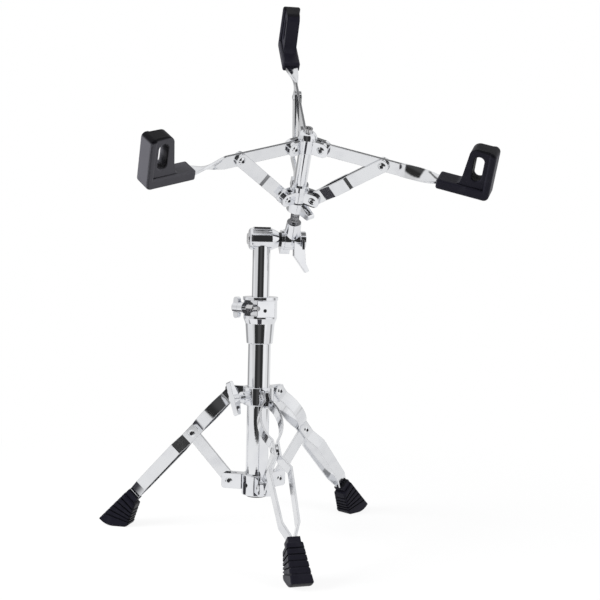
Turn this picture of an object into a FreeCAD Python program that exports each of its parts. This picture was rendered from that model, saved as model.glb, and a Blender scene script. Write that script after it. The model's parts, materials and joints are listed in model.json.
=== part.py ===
# Folding snare drum stand: tripod base, telescoping column, tilter and three-arm basket.
# Millimetres and degrees, +Z up, the floor at Z = 0, the origin under the middle of the whole stand.
import FreeCAD, Part
import math
import os
import re

import Sketcher
from FreeCAD import Placement, Rotation, Vector

doc = FreeCAD.newDocument("snare_drum_stand")

# Driving dimensions
sizes = {
    # column axis, measured from the middle of the stand's outline
    "column_x": -17.6,
    "column_y": 41.8,
    # clearances: turning and sliding fits, faces side by side, a collar on its tube
    "fit_gap": 0.05,
    "side_gap": 0.3,
    "slide_gap": 0.08,
    # column tubes
    "base_tube_d": 28.6,
    "base_tube_wall": 1.6,
    "base_tube_bottom": 56.0,
    "base_tube_top": 274.0,
    "bush_space": 1.6,
    "upper_tube_wall": 1.5,
    "upper_tube_bottom": 120.0,
    "plug_depth": 9.0,
    "plug_flange": 2.5,
    "guide_length": 14.0,
    "guide_flange": 5.0,
    # bush that guides the upper tube
    "bush_depth": 44.0,
    "bush_flange": 3.0,
    # tripod links: the leg above its middle rivet and the brace are equally long
    "leg_turn_angle": 6.4,
    "leg_angle": 42.7,
    "link_length": 76.8,
    "pivot_out": 20.5,
    "lower_pivot_z": 71.3,
    "strip_width": 15.8,
    "leg_strip_t": 2.5,
    "brace_t": 3.0,
    "bow_start": 10.0,
    "bow_radius": 44.7,
    "neck_half": 11.0,
    "splay_run": 16.0,
    "splay_gap": 24.2,
    "bend_run": 16.0,
    "bend_gap": 17.6,
    "leg_end_gap": 4.0,
    "leg_end_width": 12.8,
    "boot_depth": 20.0,
    # rivets
    "rivet_d": 6.0,
    "rivet_head_d": 9.6,
    "rivet_head_h": 1.9,
    # lower collar
    "lower_ring_wall": 4.7,
    "ring_round": 1.0,
    "lower_ring_h": 26.0,
    "lower_ear_t": 5.5,
    "lower_lug_half": 9.6,
    "lug_corner": 3.5,
    "set_screw_d": 5.0,
    "set_screw_out": 1.2,
    # sliding leg collar and its wing bolt
    "leg_ring_wall": 5.2,
    "leg_ring_above": 8.8,
    "leg_ring_below": 14.0,
    "fin_t": 4.0,
    "fin_half": 8.6,
    "collar_boss_d": 14.0,
    "collar_boss_out": 14.7,
    "collar_stem_d": 6.0,
    "collar_wing_hub_d": 11.0,
    "collar_wing_hub_h": 9.0,
    "collar_wing_gap": 8.0,
    "collar_wing_span": 43.0,
    "collar_wing_angle": 23.0,
    "collar_wing_t": 8.0,
    "collar_wing_tip": 2.6,
    "collar_wing_rise": 3.6,
    "collar_stem_in": 1.0,
    # rubber feet
    "foot_height": 59.0,
    "foot_neck_h": 7.0,
    "foot_neck_deep": 17.0,
    "foot_neck_wide": 14.8,
    "foot_shoulder_in": 12.0,
    "foot_shoulder_out": 9.0,
    "foot_shoulder_wide": 20.0,
    "sole_wide": 28.0,
    "sole_flat": 14.0,
    "sole_flat_back": 29.0,
    "heel_back": 36.0,
    "heel_rise": 7.0,
    "toe_out": 5.5,
    "toe_rise": 9.0,
    "foot_round": 2.4,
    "groove_first": 45.0,
    "groove_pitch": 6.6,
    "groove_w": 1.9,
    "groove_depth": 1.3,
    "groove_fan_angle": 6.5,
    # height clamp
    "skirt_bottom": 247.5,
    "skirt_top": 273.0,
    "skirt_low_wall": 2.3,
    "skirt_high_wall": 4.2,
    "head_bottom": 279.5,
    "head_top": 306.8,
    "head_wall": 6.9,
    "head_rim_out": 1.1,
    "head_rim_h": 5.0,
    "clamp_angle": 223.0,
    "window_half": 10.0,
    "window_wall": 1.7,
    "window_low": 283.0,
    "window_high": 302.5,
    "clamp_bolt_d": 6.0,
    "clamp_bolt_in": 3.0,
    "clamp_bolt_z": 292.6,
    "clamp_boss_d": 14.0,
    "clamp_nut_d": 10.0,
    "clamp_wing_hub_d": 13.0,
    "clamp_wing_hub_h": 8.5,
    "clamp_wing_span": 27.0,
    "clamp_wing_t": 6.0,
    "clamp_wing_tip": 3.6,
    "clamp_wing_rise": 0.9,
    "flat_angle": 285.0,
    "flat_wall": 6.2,
    "flat_low": 281.6,
    "hinge_hole_d": 4.4,
    "hinge_hole_angle": 282.0,
    "hinge_hole_z": 289.8,
    "hinge_hole_depth": 2.0,
    # tilter
    "tilter_z": 379.2,
    "barrel_wall": 2.75,
    "barrel_left": 16.5,
    "barrel_right": 20.5,
    "barrel_round": 4.0,
    "barrel_taper": 8.5,
    "barrel_nose_d": 20.0,
    "socket_gap": 7.2,
    "barrel_pad_l": 21.0,
    "barrel_pad_w": 12.0,
    "barrel_pad_h": 1.2,
    "tilter_bolt_d": 8.0,
    "bolt_head_d": 15.0,
    "bolt_head_h": 1.8,
    "bolt_tip": 1.0,
    "washer_d": 18.0,
    "washer_t": 3.0,
    "tilt_angle": 38.4,
    "basket_x": 37.7,
    "head_disc_d": 24.0,
    "head_disc_t": 4.0,
    "tilt_head_d": 26.0,
    "tilt_head_half": 10.5,
    "neck_low_d": 22.0,
    "neck_high_d": 18.0,
    "neck_top": 28.0,
    "tail_reach": 18.0,
    "tail_half": 9.0,
    "tail_t": 12.0,
    "tail_round": 4.0,
    "tilter_wing_gap": 0.3,
    "tilter_wing_hub_d": 22.0,
    "tilter_wing_hub_h": 6.5,
    "blade_off": 17.0,
    "blade_t": 4.5,
    "blade_top": 2.0,
    "blade_root": 12.0,
    "blade_elbow": 20.0,
    "blade_tip": 41.0,
    "blade_in": 11.5,
    "blade_out": 9.5,
    "blade_angle": 14.0,
    # basket post and hubs
    "knob_room": 20.7,
    "post_d": 16.0,
    "thread_d": 10.0,
    "thread_bottom": 12.0,
    "thread_show": 18.0,
    "hub_pivot_r": 20.2,
    "hub_boss_d": 23.0,
    "hub_half": 9.0,
    "hub_cap_d": 12.0,
    "hub_cap_h": 6.5,
    "hub_cap_round": 9.0,
    "hub_ear_t": 4.0,
    "hub_lug_half": 8.8,
    "hub_screw_d": 5.0,
    "hub_screw_head": 10.0,
    "hub_screw_h": 4.8,
    "hub_socket_d": 6.0,
    "hub_socket_h": 2.8,
    "slider_drop": 72.0,
    "slider_half": 8.4,
    "lug_overlap": 1.0,
    "hub_lug_round": 7.0,
    "slider_lug_round": 6.7,
    "slider_ear_t": 3.6,
    "slider_neck_d": 21.0,
    "slider_neck_h": 6.0,
    "knob_gap": 0.4,
    "knob_hub_d": 25.0,
    "knob_hub_h": 14.0,
    "knob_span": 58.0,
    "knob_angle": 121.0,
    "knob_wing_t": 9.0,
    "knob_wing_tip": 4.2,
    "knob_wing_rise": 5.2,
    # basket arms and stays
    "arm_t": 3.0,
    "arm_angle": 4.2,
    "arm_mid": 75.1,
    "twist_start": 95.0,
    "twist_end": 1.0,
    "arm_end": 181.0,
    "stay_strip_t": 2.5,
    "stay_pair_gap": 0.1,
    "joggle_at": 49.0,
    "joggle_run": 4.0,
    "stay_bow": 3.9,
    "bow_from": 16.0,
    "bow_to": 33.0,
    # rubber pads, measured along the arm from its pivot and up from its middle
    "pad_start": 141.0,
    "pad_corner": 168.0,
    "pad_end": 202.0,
    "pad_width": 22.0,
    "pad_web_width": 16.0,
    "pad_bottom": 6.0,
    "pad_seat": 6.5,
    "pad_top": 54.0,
    "pad_lean": 4.0,
    "pad_rim": 8.0,
    "pad_corner_round": 6.0,
    "pad_top_round": 9.0,
    "pad_edge": 2.6,
    "web_edge": 1.5,
    "pad_window_wide": 11.0,
    "pad_window_low": 15.0,
    "pad_window_high": 45.0,
    "pad_window_at": 184.0,
}

sheet = doc.addObject("Spreadsheet::Sheet", "sizes")
for row, (name, value) in enumerate(sizes.items(), start=1):
    sheet.set(f"A{row}", name)
    sheet.set(f"B{row}", str(value))
    sheet.setAlias(f"B{row}", name)
doc.recompute()

leg_headings = {"front": 270.0, "right": 30.0, "left": 150.0}
arm_headings = {"back": 90.0, "left": 210.0, "right": 330.0}
third_turn = 120.0
axis_x = Vector(1, 0, 0)
axis_y = Vector(0, 1, 0)
axis_z = Vector(0, 0, 1)
upright_plane = Placement(Vector(), Rotation(axis_x, 90))
pieces = []

# Sizes that follow from the driving dimensions, so that pieces that fit together stay together
derived = {
    "upper_tube_d": "base_tube_d - 2 * base_tube_wall - 2 * bush_space",
    "lower_ring_d": "base_tube_d + 2 * lower_ring_wall",
    "leg_ring_d": "base_tube_d + 2 * leg_ring_wall",
    "pivot_reach": "base_tube_d / 2 + pivot_out",
    "collar_boss_reach": "base_tube_d / 2 + collar_boss_out",
    "skirt_low_d": "base_tube_d + 2 * skirt_low_wall",
    "skirt_high_d": "base_tube_d + 2 * skirt_high_wall",
    "head_d": "base_tube_d + 2 * head_wall",
    "head_rim_d": "head_d + 2 * head_rim_out",
    "window_floor": "upper_tube_d / 2 + window_wall",
    "clamp_bolt_reach": "head_d / 2 - clamp_bolt_in",
    "clamp_boss_out": "sqrt((head_d / 2 + side_gap)^2 - (clamp_bolt_reach - clamp_wing_hub_d / 2)^2)",
    "barrel_d": "upper_tube_d + 2 * barrel_wall",
    "hub_height": "neck_top + knob_room + knob_hub_h + knob_gap + slider_half + slider_drop",
    "post_bottom": "neck_top + thread_show",
    "twist_length": "pad_start - twist_end - twist_start",
}

# Lengths that several pieces share, as formulas of the driving dimensions
leg_sin = "sin(leg_angle * 1 deg)"
leg_cos = "cos(leg_angle * 1 deg)"
arm_sin = "sin(arm_angle * 1 deg)"
arm_cos = "cos(arm_angle * 1 deg)"
top_pivot_z = f"lower_pivot_z + 2 * link_length * {leg_cos}"
leg_floor = f"lower_pivot_z / {leg_cos} + 2 * link_length"
floor_reach = f"pivot_reach + ({leg_floor}) * {leg_sin}"
boot_entry = f"{leg_floor} - foot_height"
base_bore_d = "base_tube_d - 2 * base_tube_wall"
lower_lug_w = "brace_t + 2 * side_gap + 2 * lower_ear_t"
leg_grip = "brace_t + 2 * side_gap + 2 * leg_strip_t"
hub_lug_w = "arm_t + 2 * side_gap + 2 * hub_ear_t"
slider_slot_w = "2 * stay_strip_t + stay_pair_gap + 2 * side_gap"
slider_lug_w = f"{slider_slot_w} + 2 * slider_ear_t"
stay_rise = f"(slider_drop + arm_mid * {arm_sin})"
stay_run = f"(arm_mid * {arm_cos})"
stay_length = f"sqrt({stay_rise}^2 + {stay_run}^2)"
slider_pivot_s = "hub_height - slider_drop"


def link(formula):
    # Names become spreadsheet aliases, and a derived size becomes its own formula.
    def spell(word):
        if word[0] in derived:
            return f"({link(derived[word[0]])})"
        return f"sizes.{word[0]}" if word[0] in sizes else word[0]
    return re.sub(r"[a-z][a-z0-9_]*", spell, str(formula))


def number(formula):
    return float(sheet.evalExpression(link(formula)))


def bind(thing, prop, formula):
    thing.setExpression(prop, link(formula))


def arc_between(start, end, radius):
    # A positive radius turns left on the way from start to end, a negative one turns right.
    half = (end - start) / 2
    left = Vector(-half.y, half.x, 0).normalize()
    rise = math.sqrt(max(radius * radius - half.Length ** 2, 0.0))
    centre = start + half + left * math.copysign(rise, radius)
    first, last = (start, end) if radius > 0 else (end, start)
    angles = [math.atan2(point.y - centre.y, point.x - centre.x) for point in (first, last)]
    return Part.ArcOfCircle(Part.Circle(centre, axis_z, abs(radius)), *angles)


def draw(sketch, corners, closed=True, holes=()):
    # Each corner is (x, y) or (x, y, radius of the arc that leaves it), all as formulas.
    points = [Vector(number(corner[0]), number(corner[1]), 0) for corner in corners]
    count = len(points) if closed else len(points) - 1
    starts, ends = [], []
    for index in range(count):
        here, there = points[index], points[(index + 1) % len(points)]
        radius = corners[index][2] if len(corners[index]) > 2 else None
        turns_right = radius is not None and radius.startswith("-")
        starts.append(2 if turns_right else 1)
        ends.append(1 if turns_right else 2)
        if radius is None:
            sketch.addGeometry(Part.LineSegment(here, there))
        else:
            size = radius.lstrip("-")
            sketch.addGeometry(arc_between(here, there, number(size) * (-1 if turns_right else 1)))
    for index in range(count if closed else count - 1):
        follower = (index + 1) % count
        joint = Sketcher.Constraint("Coincident", index, ends[index], follower, starts[follower])
        sketch.addConstraint(joint)
    for index, corner in enumerate(corners):
        last = index == count
        edge, spot = (index - 1, ends[index - 1]) if last else (index, starts[index])
        for kind, formula in (("DistanceX", corner[0]), ("DistanceY", corner[1])):
            held = sketch.addConstraint(Sketcher.Constraint(kind, -1, 1, edge, spot, number(formula)))
            bind(sketch, f"Constraints[{held}]", formula)
        if len(corner) > 2 and not last:
            size = corner[2].lstrip("-")
            held = sketch.addConstraint(Sketcher.Constraint("Radius", index, number(size)))
            bind(sketch, f"Constraints[{held}]", size)
    for across, up, diameter in holes:
        centre = Vector(number(across), number(up), 0)
        edge = sketch.addGeometry(Part.Circle(centre, axis_z, number(diameter) / 2))
        for kind, formula in (("DistanceX", across), ("DistanceY", up)):
            held = sketch.addConstraint(Sketcher.Constraint(kind, -1, 1, edge, 3, number(formula)))
            bind(sketch, f"Constraints[{held}]", formula)
        held = sketch.addConstraint(Sketcher.Constraint("Diameter", edge, number(diameter)))
        bind(sketch, f"Constraints[{held}]", diameter)
    return sketch


def free_sketch(name, corners, placement=None, closed=True, holes=()):
    sketch = doc.addObject("Sketcher::SketchObject", name + "_outline")
    sketch.Placement = placement or Placement()
    return draw(sketch, corners, closed, holes)


def body_sketch(body, plane, corners, holes=()):
    sketch = body.newObject("Sketcher::SketchObject", body.Name + "_sketch")
    sketch.AttachmentSupport = [(next(part for part in body.Origin.OriginFeatures if part.Role == plane), "")]
    sketch.MapMode = "FlatFace"
    return draw(sketch, corners, True, holes)


def extruded(name, face, length):
    solid = doc.addObject("Part::Extrusion", name)
    solid.Base = face
    solid.DirMode = "Normal"
    solid.Solid = True
    solid.Symmetric = True
    bind(solid, "LengthFwd", length)
    return solid


def cylinder(name, diameter, height, placement):
    rod = doc.addObject("Part::Cylinder", name)
    bind(rod, "Radius", f"({diameter}) / 2")
    bind(rod, "Height", height)
    rod.Placement = placement
    return rod


def box(name, lengths, placement):
    block = doc.addObject("Part::Box", name)
    for prop, formula in zip(("Length", "Width", "Height"), lengths):
        bind(block, prop, formula)
    block.Placement = placement
    return block


def cut(name, base, tool):
    result = doc.addObject("Part::Cut", name)
    result.Base, result.Tool = base, tool
    return result


def common(name, base, tool):
    result = doc.addObject("Part::Common", name)
    result.Base, result.Tool = base, tool
    return result


def fused(name, shapes):
    result = doc.addObject("Part::MultiFuse", name)
    result.Shapes = shapes
    return result


def group(name, members):
    result = doc.addObject("Part::Compound", name)
    result.Links = members
    return result


def piece(label, thing, placement=None):
    thing.Label = label
    if placement is not None:
        thing.Placement = placement
    pieces.append(thing)
    return thing


def turned(name, corners):
    # A body turned about its own Z axis, its profile given as (radius, height).
    body = doc.addObject("PartDesign::Body", name)
    sketch = body_sketch(body, "XZ_Plane", corners)
    turn = body.newObject("PartDesign::Revolution", name + "_turn")
    turn.Profile = sketch
    turn.ReferenceAxis = (sketch, ["V_Axis"])
    turn.Angle = 360.0
    doc.recompute()
    return body


def symmetric_feature(body, kind, corners, length, holes=(), plane="XZ_Plane"):
    feature = body.newObject(kind, body.Name + "_feature")
    feature.Profile = body_sketch(body, plane, corners, holes)
    feature.SideType = "Symmetric"
    bind(feature, "Length", length)
    doc.recompute()
    return feature


def three_times(body, features):
    pattern = body.newObject("PartDesign::PolarPattern", body.Name + "_pattern")
    pattern.Originals = features
    pattern.Axis = (next(part for part in body.Origin.OriginFeatures if part.Role == "Z_Axis"), [""])
    pattern.Angle = 360.0
    pattern.Occurrences = 3
    body.Tip = pattern
    doc.recompute()
    return pattern


def circle_corners(across, up, radius):
    # A full circle as four quarter arcs, for a round pocket.
    return [(f"{across} + {radius}", up, radius), (across, f"{up} + {radius}", radius),
            (f"{across} - {radius}", up, radius), (across, f"{up} - {radius}", radius)]


def lug_corners(inner, outer, low, high, corner):
    return [(inner, low), (f"{outer} - {corner}", low, corner), (outer, f"{low} + {corner}"),
            (outer, f"{high} - {corner}", corner), (f"{outer} - {corner}", high), (inner, high)]


def strip_corners(length, half):
    # A flat strip with round ends about the two holes at 0 and length.
    return [("0", f"-{half}"), (length, f"-{half}", half), (f"{length} + {half}", "0", half), (length, half),
            ("0", half, half), (f"-{half}", "0", half)]


def on_column(heading=0.0, height=0.0):
    return Placement(Vector(number("column_x"), number("column_y"), height), Rotation(axis_z, heading))


def moved(x=0.0, y=0.0, z=0.0):
    return Placement(Vector(x, y, z), Rotation())


def turned_y(angle):
    return Placement(Vector(), Rotation(axis_y, angle))


def framed(origin, along_x, along_z):
    return Placement(origin, Rotation(along_x, along_z.cross(along_x), along_z, "ZXY"))


def leg_heading(name):
    return leg_headings[name] + number("leg_turn_angle")


def leg_frame(name):
    # Origin on the upper rivet, X down the leg, Y sideways, Z outwards.
    raised = moved(number("pivot_reach"), 0, number(top_pivot_z))
    return on_column(leg_heading(name)) * raised * turned_y(90 - number("leg_angle"))


def brace_frame(name):
    # Origin on the lower rivet, X up the brace.
    raised = moved(number("pivot_reach"), 0, number("lower_pivot_z"))
    return on_column(leg_heading(name)) * raised * turned_y(number("leg_angle") - 90)


def basket_frame():
    # Origin on the tilter's axis, Z up the basket post.
    origin = Vector(number("column_x + basket_x"), number("column_y"), number("tilter_z"))
    return Placement(origin, Rotation(axis_x, number("tilt_angle")))


def hub_frame(name, height):
    return basket_frame() * Placement(Vector(0, 0, number(height)), Rotation(axis_z, arm_headings[name]))


def arm_frame(name):
    return hub_frame(name, "hub_height") * moved(number("hub_pivot_r")) * turned_y(-number("arm_angle"))


def stay_frame(name):
    lean = math.degrees(math.atan2(number(stay_run), number(stay_rise)))
    return hub_frame(name, slider_pivot_s) * moved(number("hub_pivot_r")) * turned_y(lean - 90)


sideways = Placement(Vector(), Rotation(axis_x, 90))


# Rivets

def rivet(name, grip):
    # Two domed heads on a shank as long as the grip, about the Z axis.
    dome = "(rivet_head_d^2 / 4 + rivet_head_h^2) / (2 * rivet_head_h)"
    return turned(name, [
        ("0", f"-({grip}) / 2 - rivet_head_h", dome), ("rivet_head_d / 2", f"-({grip}) / 2"),
        ("rivet_d / 2", f"-({grip}) / 2"), ("rivet_d / 2", f"({grip}) / 2"),
        ("rivet_head_d / 2", f"({grip}) / 2", dome), ("0", f"({grip}) / 2 + rivet_head_h")])


def rivet_head(name, depth):
    # One domed head on a short shank that ends flush with the strip's inner face.
    dome = "(rivet_head_d^2 / 4 + rivet_head_h^2) / (2 * rivet_head_h)"
    return turned(name, [
        ("0", f"-({depth})"), ("rivet_d / 2", f"-({depth})"), ("rivet_d / 2", "0"),
        ("rivet_head_d / 2", "0", dome), ("0", "rivet_head_h")])


# Base tube, its plug and the lower collar

def make_base_tube():
    tube = turned("base_tube_body", [
        (f"({base_bore_d}) / 2", "base_tube_bottom"), ("base_tube_d / 2", "base_tube_bottom"),
        ("base_tube_d / 2", "base_tube_top"), (f"({base_bore_d}) / 2", "base_tube_top")])
    piece("base_tube", tube, on_column())
    plug = turned("tube_plug_body", [
        ("0", "base_tube_bottom - plug_flange"),
        ("base_tube_d / 2 - plug_flange / 2", "base_tube_bottom - plug_flange"),
        ("base_tube_d / 2", "base_tube_bottom - plug_flange / 2"), ("base_tube_d / 2", "base_tube_bottom"),
        (f"({base_bore_d}) / 2 - fit_gap", "base_tube_bottom"),
        (f"({base_bore_d}) / 2 - fit_gap", "base_tube_bottom + plug_depth"),
        ("0", "base_tube_bottom + plug_depth")])
    piece("tube_plug", plug, on_column())


def make_lower_collar():
    collar = turned("lower_collar_body", [
        ("base_tube_d / 2 + fit_gap", "base_tube_bottom"),
        ("lower_ring_d / 2 - ring_round", "base_tube_bottom", "ring_round"),
        ("lower_ring_d / 2", "base_tube_bottom + ring_round"),
        ("lower_ring_d / 2", "base_tube_bottom + lower_ring_h - ring_round", "ring_round"),
        ("lower_ring_d / 2 - ring_round", "base_tube_bottom + lower_ring_h"),
        ("base_tube_d / 2 + fit_gap", "base_tube_bottom + lower_ring_h")])
    lug = symmetric_feature(collar, "PartDesign::Pad", lug_corners(
        "lower_ring_d / 2 - 2 * side_gap", "pivot_reach + lower_lug_half", "lower_pivot_z - lower_lug_half",
        "lower_pivot_z + lower_lug_half", "lug_corner"), lower_lug_w)
    slot = symmetric_feature(collar, "PartDesign::Pocket", lug_corners(
        "pivot_reach - strip_width / 2 - 2 * side_gap", "pivot_reach + 2 * lower_lug_half",
        "lower_pivot_z - 2 * lower_lug_half", "lower_pivot_z + 2 * lower_lug_half", "lug_corner"),
        "brace_t + 2 * side_gap")
    hole = symmetric_feature(collar, "PartDesign::Pocket", circle_corners(
        "pivot_reach", "lower_pivot_z", "(rivet_d / 2 + fit_gap)"), f"2 * ({lower_lug_w})")
    three_times(collar, [lug, slot, hole])
    screw_hole = cylinder("lower_screw_hole", "set_screw_d", "lower_ring_d / 2", Placement(
        Vector(0, 0, number("base_tube_bottom + lower_ring_h / 2")),
        Rotation(axis_z, third_turn / 2) * Rotation(axis_y, 90)))
    piece("lower_collar", cut("lower_collar_cut", collar, screw_hole), on_column(leg_heading("left")))
    screw = cylinder("lower_collar_screw", "set_screw_d - 2 * fit_gap",
                     "lower_ring_d / 2 - base_tube_d / 2 - fit_gap + set_screw_out", Placement())
    seat = moved(number("base_tube_d / 2 + fit_gap"), 0, number("base_tube_bottom + lower_ring_h / 2"))
    piece("lower_collar_screw", screw, on_column(leg_heading("left") + third_turn / 2) * seat * turned_y(90))
    rivets = []
    for name in leg_headings:
        pin = rivet("lower_rivet_" + name, lower_lug_w)
        raised = moved(number("pivot_reach"), 0, number("lower_pivot_z"))
        pin.Placement = on_column(leg_heading(name)) * raised * sideways
        rivets.append(pin)
    piece("lower_rivets", group("lower_rivet_group", rivets))


# Legs, braces and feet

def make_leg(name):
    half = "strip_width / 2"
    path = [
        (f"-{half} - side_gap", "fin_t / 2 + side_gap"),
        ("bow_start", "fin_t / 2 + side_gap", "-bow_radius"),
        ("link_length - neck_half", "brace_t / 2 + side_gap"),
        ("link_length + neck_half", "brace_t / 2 + side_gap"),
        ("link_length + neck_half + splay_run", "splay_gap / 2"),
        (f"{boot_entry} - leg_strip_t - bend_run", "bend_gap / 2"),
        (f"{boot_entry} - leg_strip_t", "leg_end_gap / 2"),
        (f"{boot_entry} + boot_depth", "leg_end_gap / 2")]
    thick = doc.addObject("Part::Offset2D", f"leg_{name}_thickness")
    thick.Source = free_sketch(f"leg_{name}_bends", path, closed=False)
    thick.Mode = 0
    thick.Join = 2
    thick.Fill = True
    bind(thick, "Value", "-leg_strip_t")
    strip = extruded(f"leg_{name}_strip", thick, "strip_width")
    other = doc.addObject("Part::Mirroring", f"leg_{name}_other_strip")
    other.Source = strip
    other.Normal = axis_y
    pair = group(f"leg_{name}_pair", [strip, other])
    tail = "leg_end_width / 2"
    outline = free_sketch(f"leg_{name}_face", [
        ("0", f"-{half}"), (f"{boot_entry} - side_gap", f"-{half}"),
        (f"{boot_entry} - side_gap", f"-{tail}"),
        (f"{boot_entry} + boot_depth", f"-{tail}"), (f"{boot_entry} + boot_depth", tail),
        (f"{boot_entry} - side_gap", tail), (f"{boot_entry} - side_gap", half), ("0", half, half),
        (f"-{half}", "0", half)], upright_plane, holes=[
            ("0", "0", "rivet_d + 2 * fit_gap"), ("link_length", "0", "rivet_d + 2 * fit_gap")])
    face = extruded(f"leg_{name}_face_block", outline, "2 * splay_gap")
    piece(f"leg_{name}", common(f"leg_{name}_strips", pair, face), leg_frame(name))
    middle = rivet(f"leg_{name}_middle_rivet", leg_grip)
    middle.Placement = leg_frame(name) * moved(number("link_length")) * sideways
    heads = [middle]
    for side in (1, -1):
        head = rivet_head(f"leg_{name}_upper_rivet", "leg_strip_t")
        outer = moved(0, side * number("fin_t / 2 + side_gap + leg_strip_t"), 0)
        head.Placement = leg_frame(name) * outer * Placement(Vector(), Rotation(axis_x, -90 * side))
        heads.append(head)
    piece(f"leg_rivets_{name}", group(f"leg_{name}_rivet_group", heads))


def make_brace(name):
    corners = strip_corners("link_length", "strip_width / 2")
    outline = free_sketch(f"brace_{name}", corners, upright_plane, holes=[
        ("0", "0", "rivet_d + 2 * fit_gap"), ("link_length", "0", "rivet_d + 2 * fit_gap")])
    piece(f"brace_{name}", extruded(f"brace_{name}_strip", outline, "brace_t"), brace_frame(name))


def leg_point(along, across):
    # A point of the foot's side view, measured up the leg from the floor and outwards from its axis.
    outward = f"-({along}) * {leg_sin} + ({across}) * {leg_cos}"
    upward = f"({along}) * {leg_cos} + ({across}) * {leg_sin}"
    return (outward, upward)


def foot_blank(name, inset):
    # The side view and the front view of the boot, crossed; an inset shrinks both.
    heel_curve = "(heel_back - sole_flat_back)^2 / (2 * heel_rise) + heel_rise / 2"
    toe_curve = "(toe_out + sole_flat_back - sole_flat)^2 / (2 * toe_rise) + toe_rise / 2"
    neck_foot = "foot_height - foot_neck_h"
    side = free_sketch(name + "_side", [
        leg_point(neck_foot, "-foot_neck_deep / 2"),
        leg_point(neck_foot, f"-foot_shoulder_in + {inset}"),
        (f"-heel_back + {inset}", f"heel_rise + {inset}", heel_curve),
        ("-sole_flat_back", inset), ("sole_flat - sole_flat_back", inset, toe_curve),
        (f"toe_out - {inset}", f"toe_rise + {inset}"),
        leg_point(neck_foot, f"foot_shoulder_out - {inset}"),
        leg_point(neck_foot, "foot_neck_deep / 2"),
        leg_point("foot_height", "foot_neck_deep / 2"),
        leg_point("foot_height", "-foot_neck_deep / 2")], upright_plane)
    tilt = math.radians(number("leg_angle"))
    up_leg = Vector(-math.sin(tilt), 0, math.cos(tilt))
    out_leg = Vector(math.cos(tilt), 0, math.sin(tilt))
    half = f"sole_wide / 2 - {inset}"
    shoulder = f"foot_shoulder_wide / 2 - {inset}"
    front = free_sketch(name + "_front", [
        (f"-({half})", "-toe_rise"), (half, "-toe_rise"), (shoulder, neck_foot),
        ("foot_neck_wide / 2", neck_foot), ("foot_neck_wide / 2", "foot_height + heel_rise"),
        ("-foot_neck_wide / 2", "foot_height + heel_rise"), ("-foot_neck_wide / 2", neck_foot),
        (f"-({shoulder})", neck_foot)],
        Placement(Vector(), Rotation(axis_y, up_leg, out_leg, "ZXY")))
    return common(name, extruded(name + "_side_block", side, "2 * sole_wide"),
                  extruded(name + "_front_block", front, "4 * foot_height"))


def rounded_foot(name, blank):
    # The long corners of the boot are rounded; the neck and the edges across it stay sharp.
    doc.recompute()
    beyond_neck = number("foot_neck_wide / 2 + side_gap")
    corners = []
    for index, edge in enumerate(blank.Shape.Edges, start=1):
        sides = [vertex.Y for vertex in edge.Vertexes]
        if min(sides) > beyond_neck or max(sides) < -beyond_neck:
            corners.append((index, number("foot_round"), number("foot_round")))
    smooth = doc.addObject("Part::Fillet", name + "_rounded")
    smooth.Base = blank
    smooth.Edges = corners
    return smooth


def make_foot(name):
    blank = rounded_foot(f"foot_{name}", foot_blank(f"foot_{name}_blank", "0"))
    core = foot_blank(f"foot_{name}_core", "groove_depth")
    slabs = []
    for index in range(5):
        slab = box(f"foot_{name}_groove", ("4 * sole_wide", "4 * sole_wide", "groove_w"), Placement())
        height = number(f"groove_first - {index} * groove_pitch")
        fan = number(f"{index} * groove_fan_angle")
        centre = moved(-number("2 * sole_wide"), -number("2 * sole_wide"), -number("groove_w / 2"))
        slab.Placement = turned_y(-number("leg_angle")) * moved(0, 0, height) * turned_y(fan) * centre
        slabs.append(slab)
    rings = cut(f"foot_{name}_rings", group(f"foot_{name}_slabs", slabs), core)
    ribbed = cut(f"foot_{name}_ribbed", blank, rings)
    wide = "leg_end_gap + 2 * leg_strip_t + 2 * fit_gap"
    lengths = ("leg_end_width + 2 * fit_gap", wide, "boot_depth + foot_height")
    pocket = box(f"foot_{name}_pocket", lengths, Placement())
    floor = number("foot_height - boot_depth")
    corner = moved(-number("leg_end_width / 2 + fit_gap"), -number(wide) / 2, floor)
    pocket.Placement = turned_y(-number("leg_angle")) * corner
    placed = on_column(leg_heading(name)) * moved(number(floor_reach))
    piece(f"foot_{name}", cut(f"foot_{name}_boot", ribbed, pocket), placed)


# Sliding collar of the legs

def wing(name, hub_d, hub_h, span, thickness, tip, rise):
    # A hub about the Z axis with two flat arms that reach out along X and end in round tips.
    end = f"({span}) / 2"
    hub = cylinder(name + "_hub", hub_d, hub_h, Placement())
    plate = free_sketch(name + "_plate", [
        (f"({hub_d}) / 2", "0"), (f"{end} - {tip}", rise, tip), (end, f"{rise} + {tip}", tip),
        (f"{end} - {tip}", f"{rise} + 2 * {tip}"), (f"({hub_d}) / 2", hub_h), (f"-({hub_d}) / 2", hub_h),
        (f"-({end} - {tip})", f"{rise} + 2 * {tip}", tip), (f"-({end})", f"{rise} + {tip}", tip),
        (f"-({end} - {tip})", rise), (f"-({hub_d}) / 2", "0")], upright_plane)
    return fused(name, [hub, extruded(name + "_arms", plate, thickness)])


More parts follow.
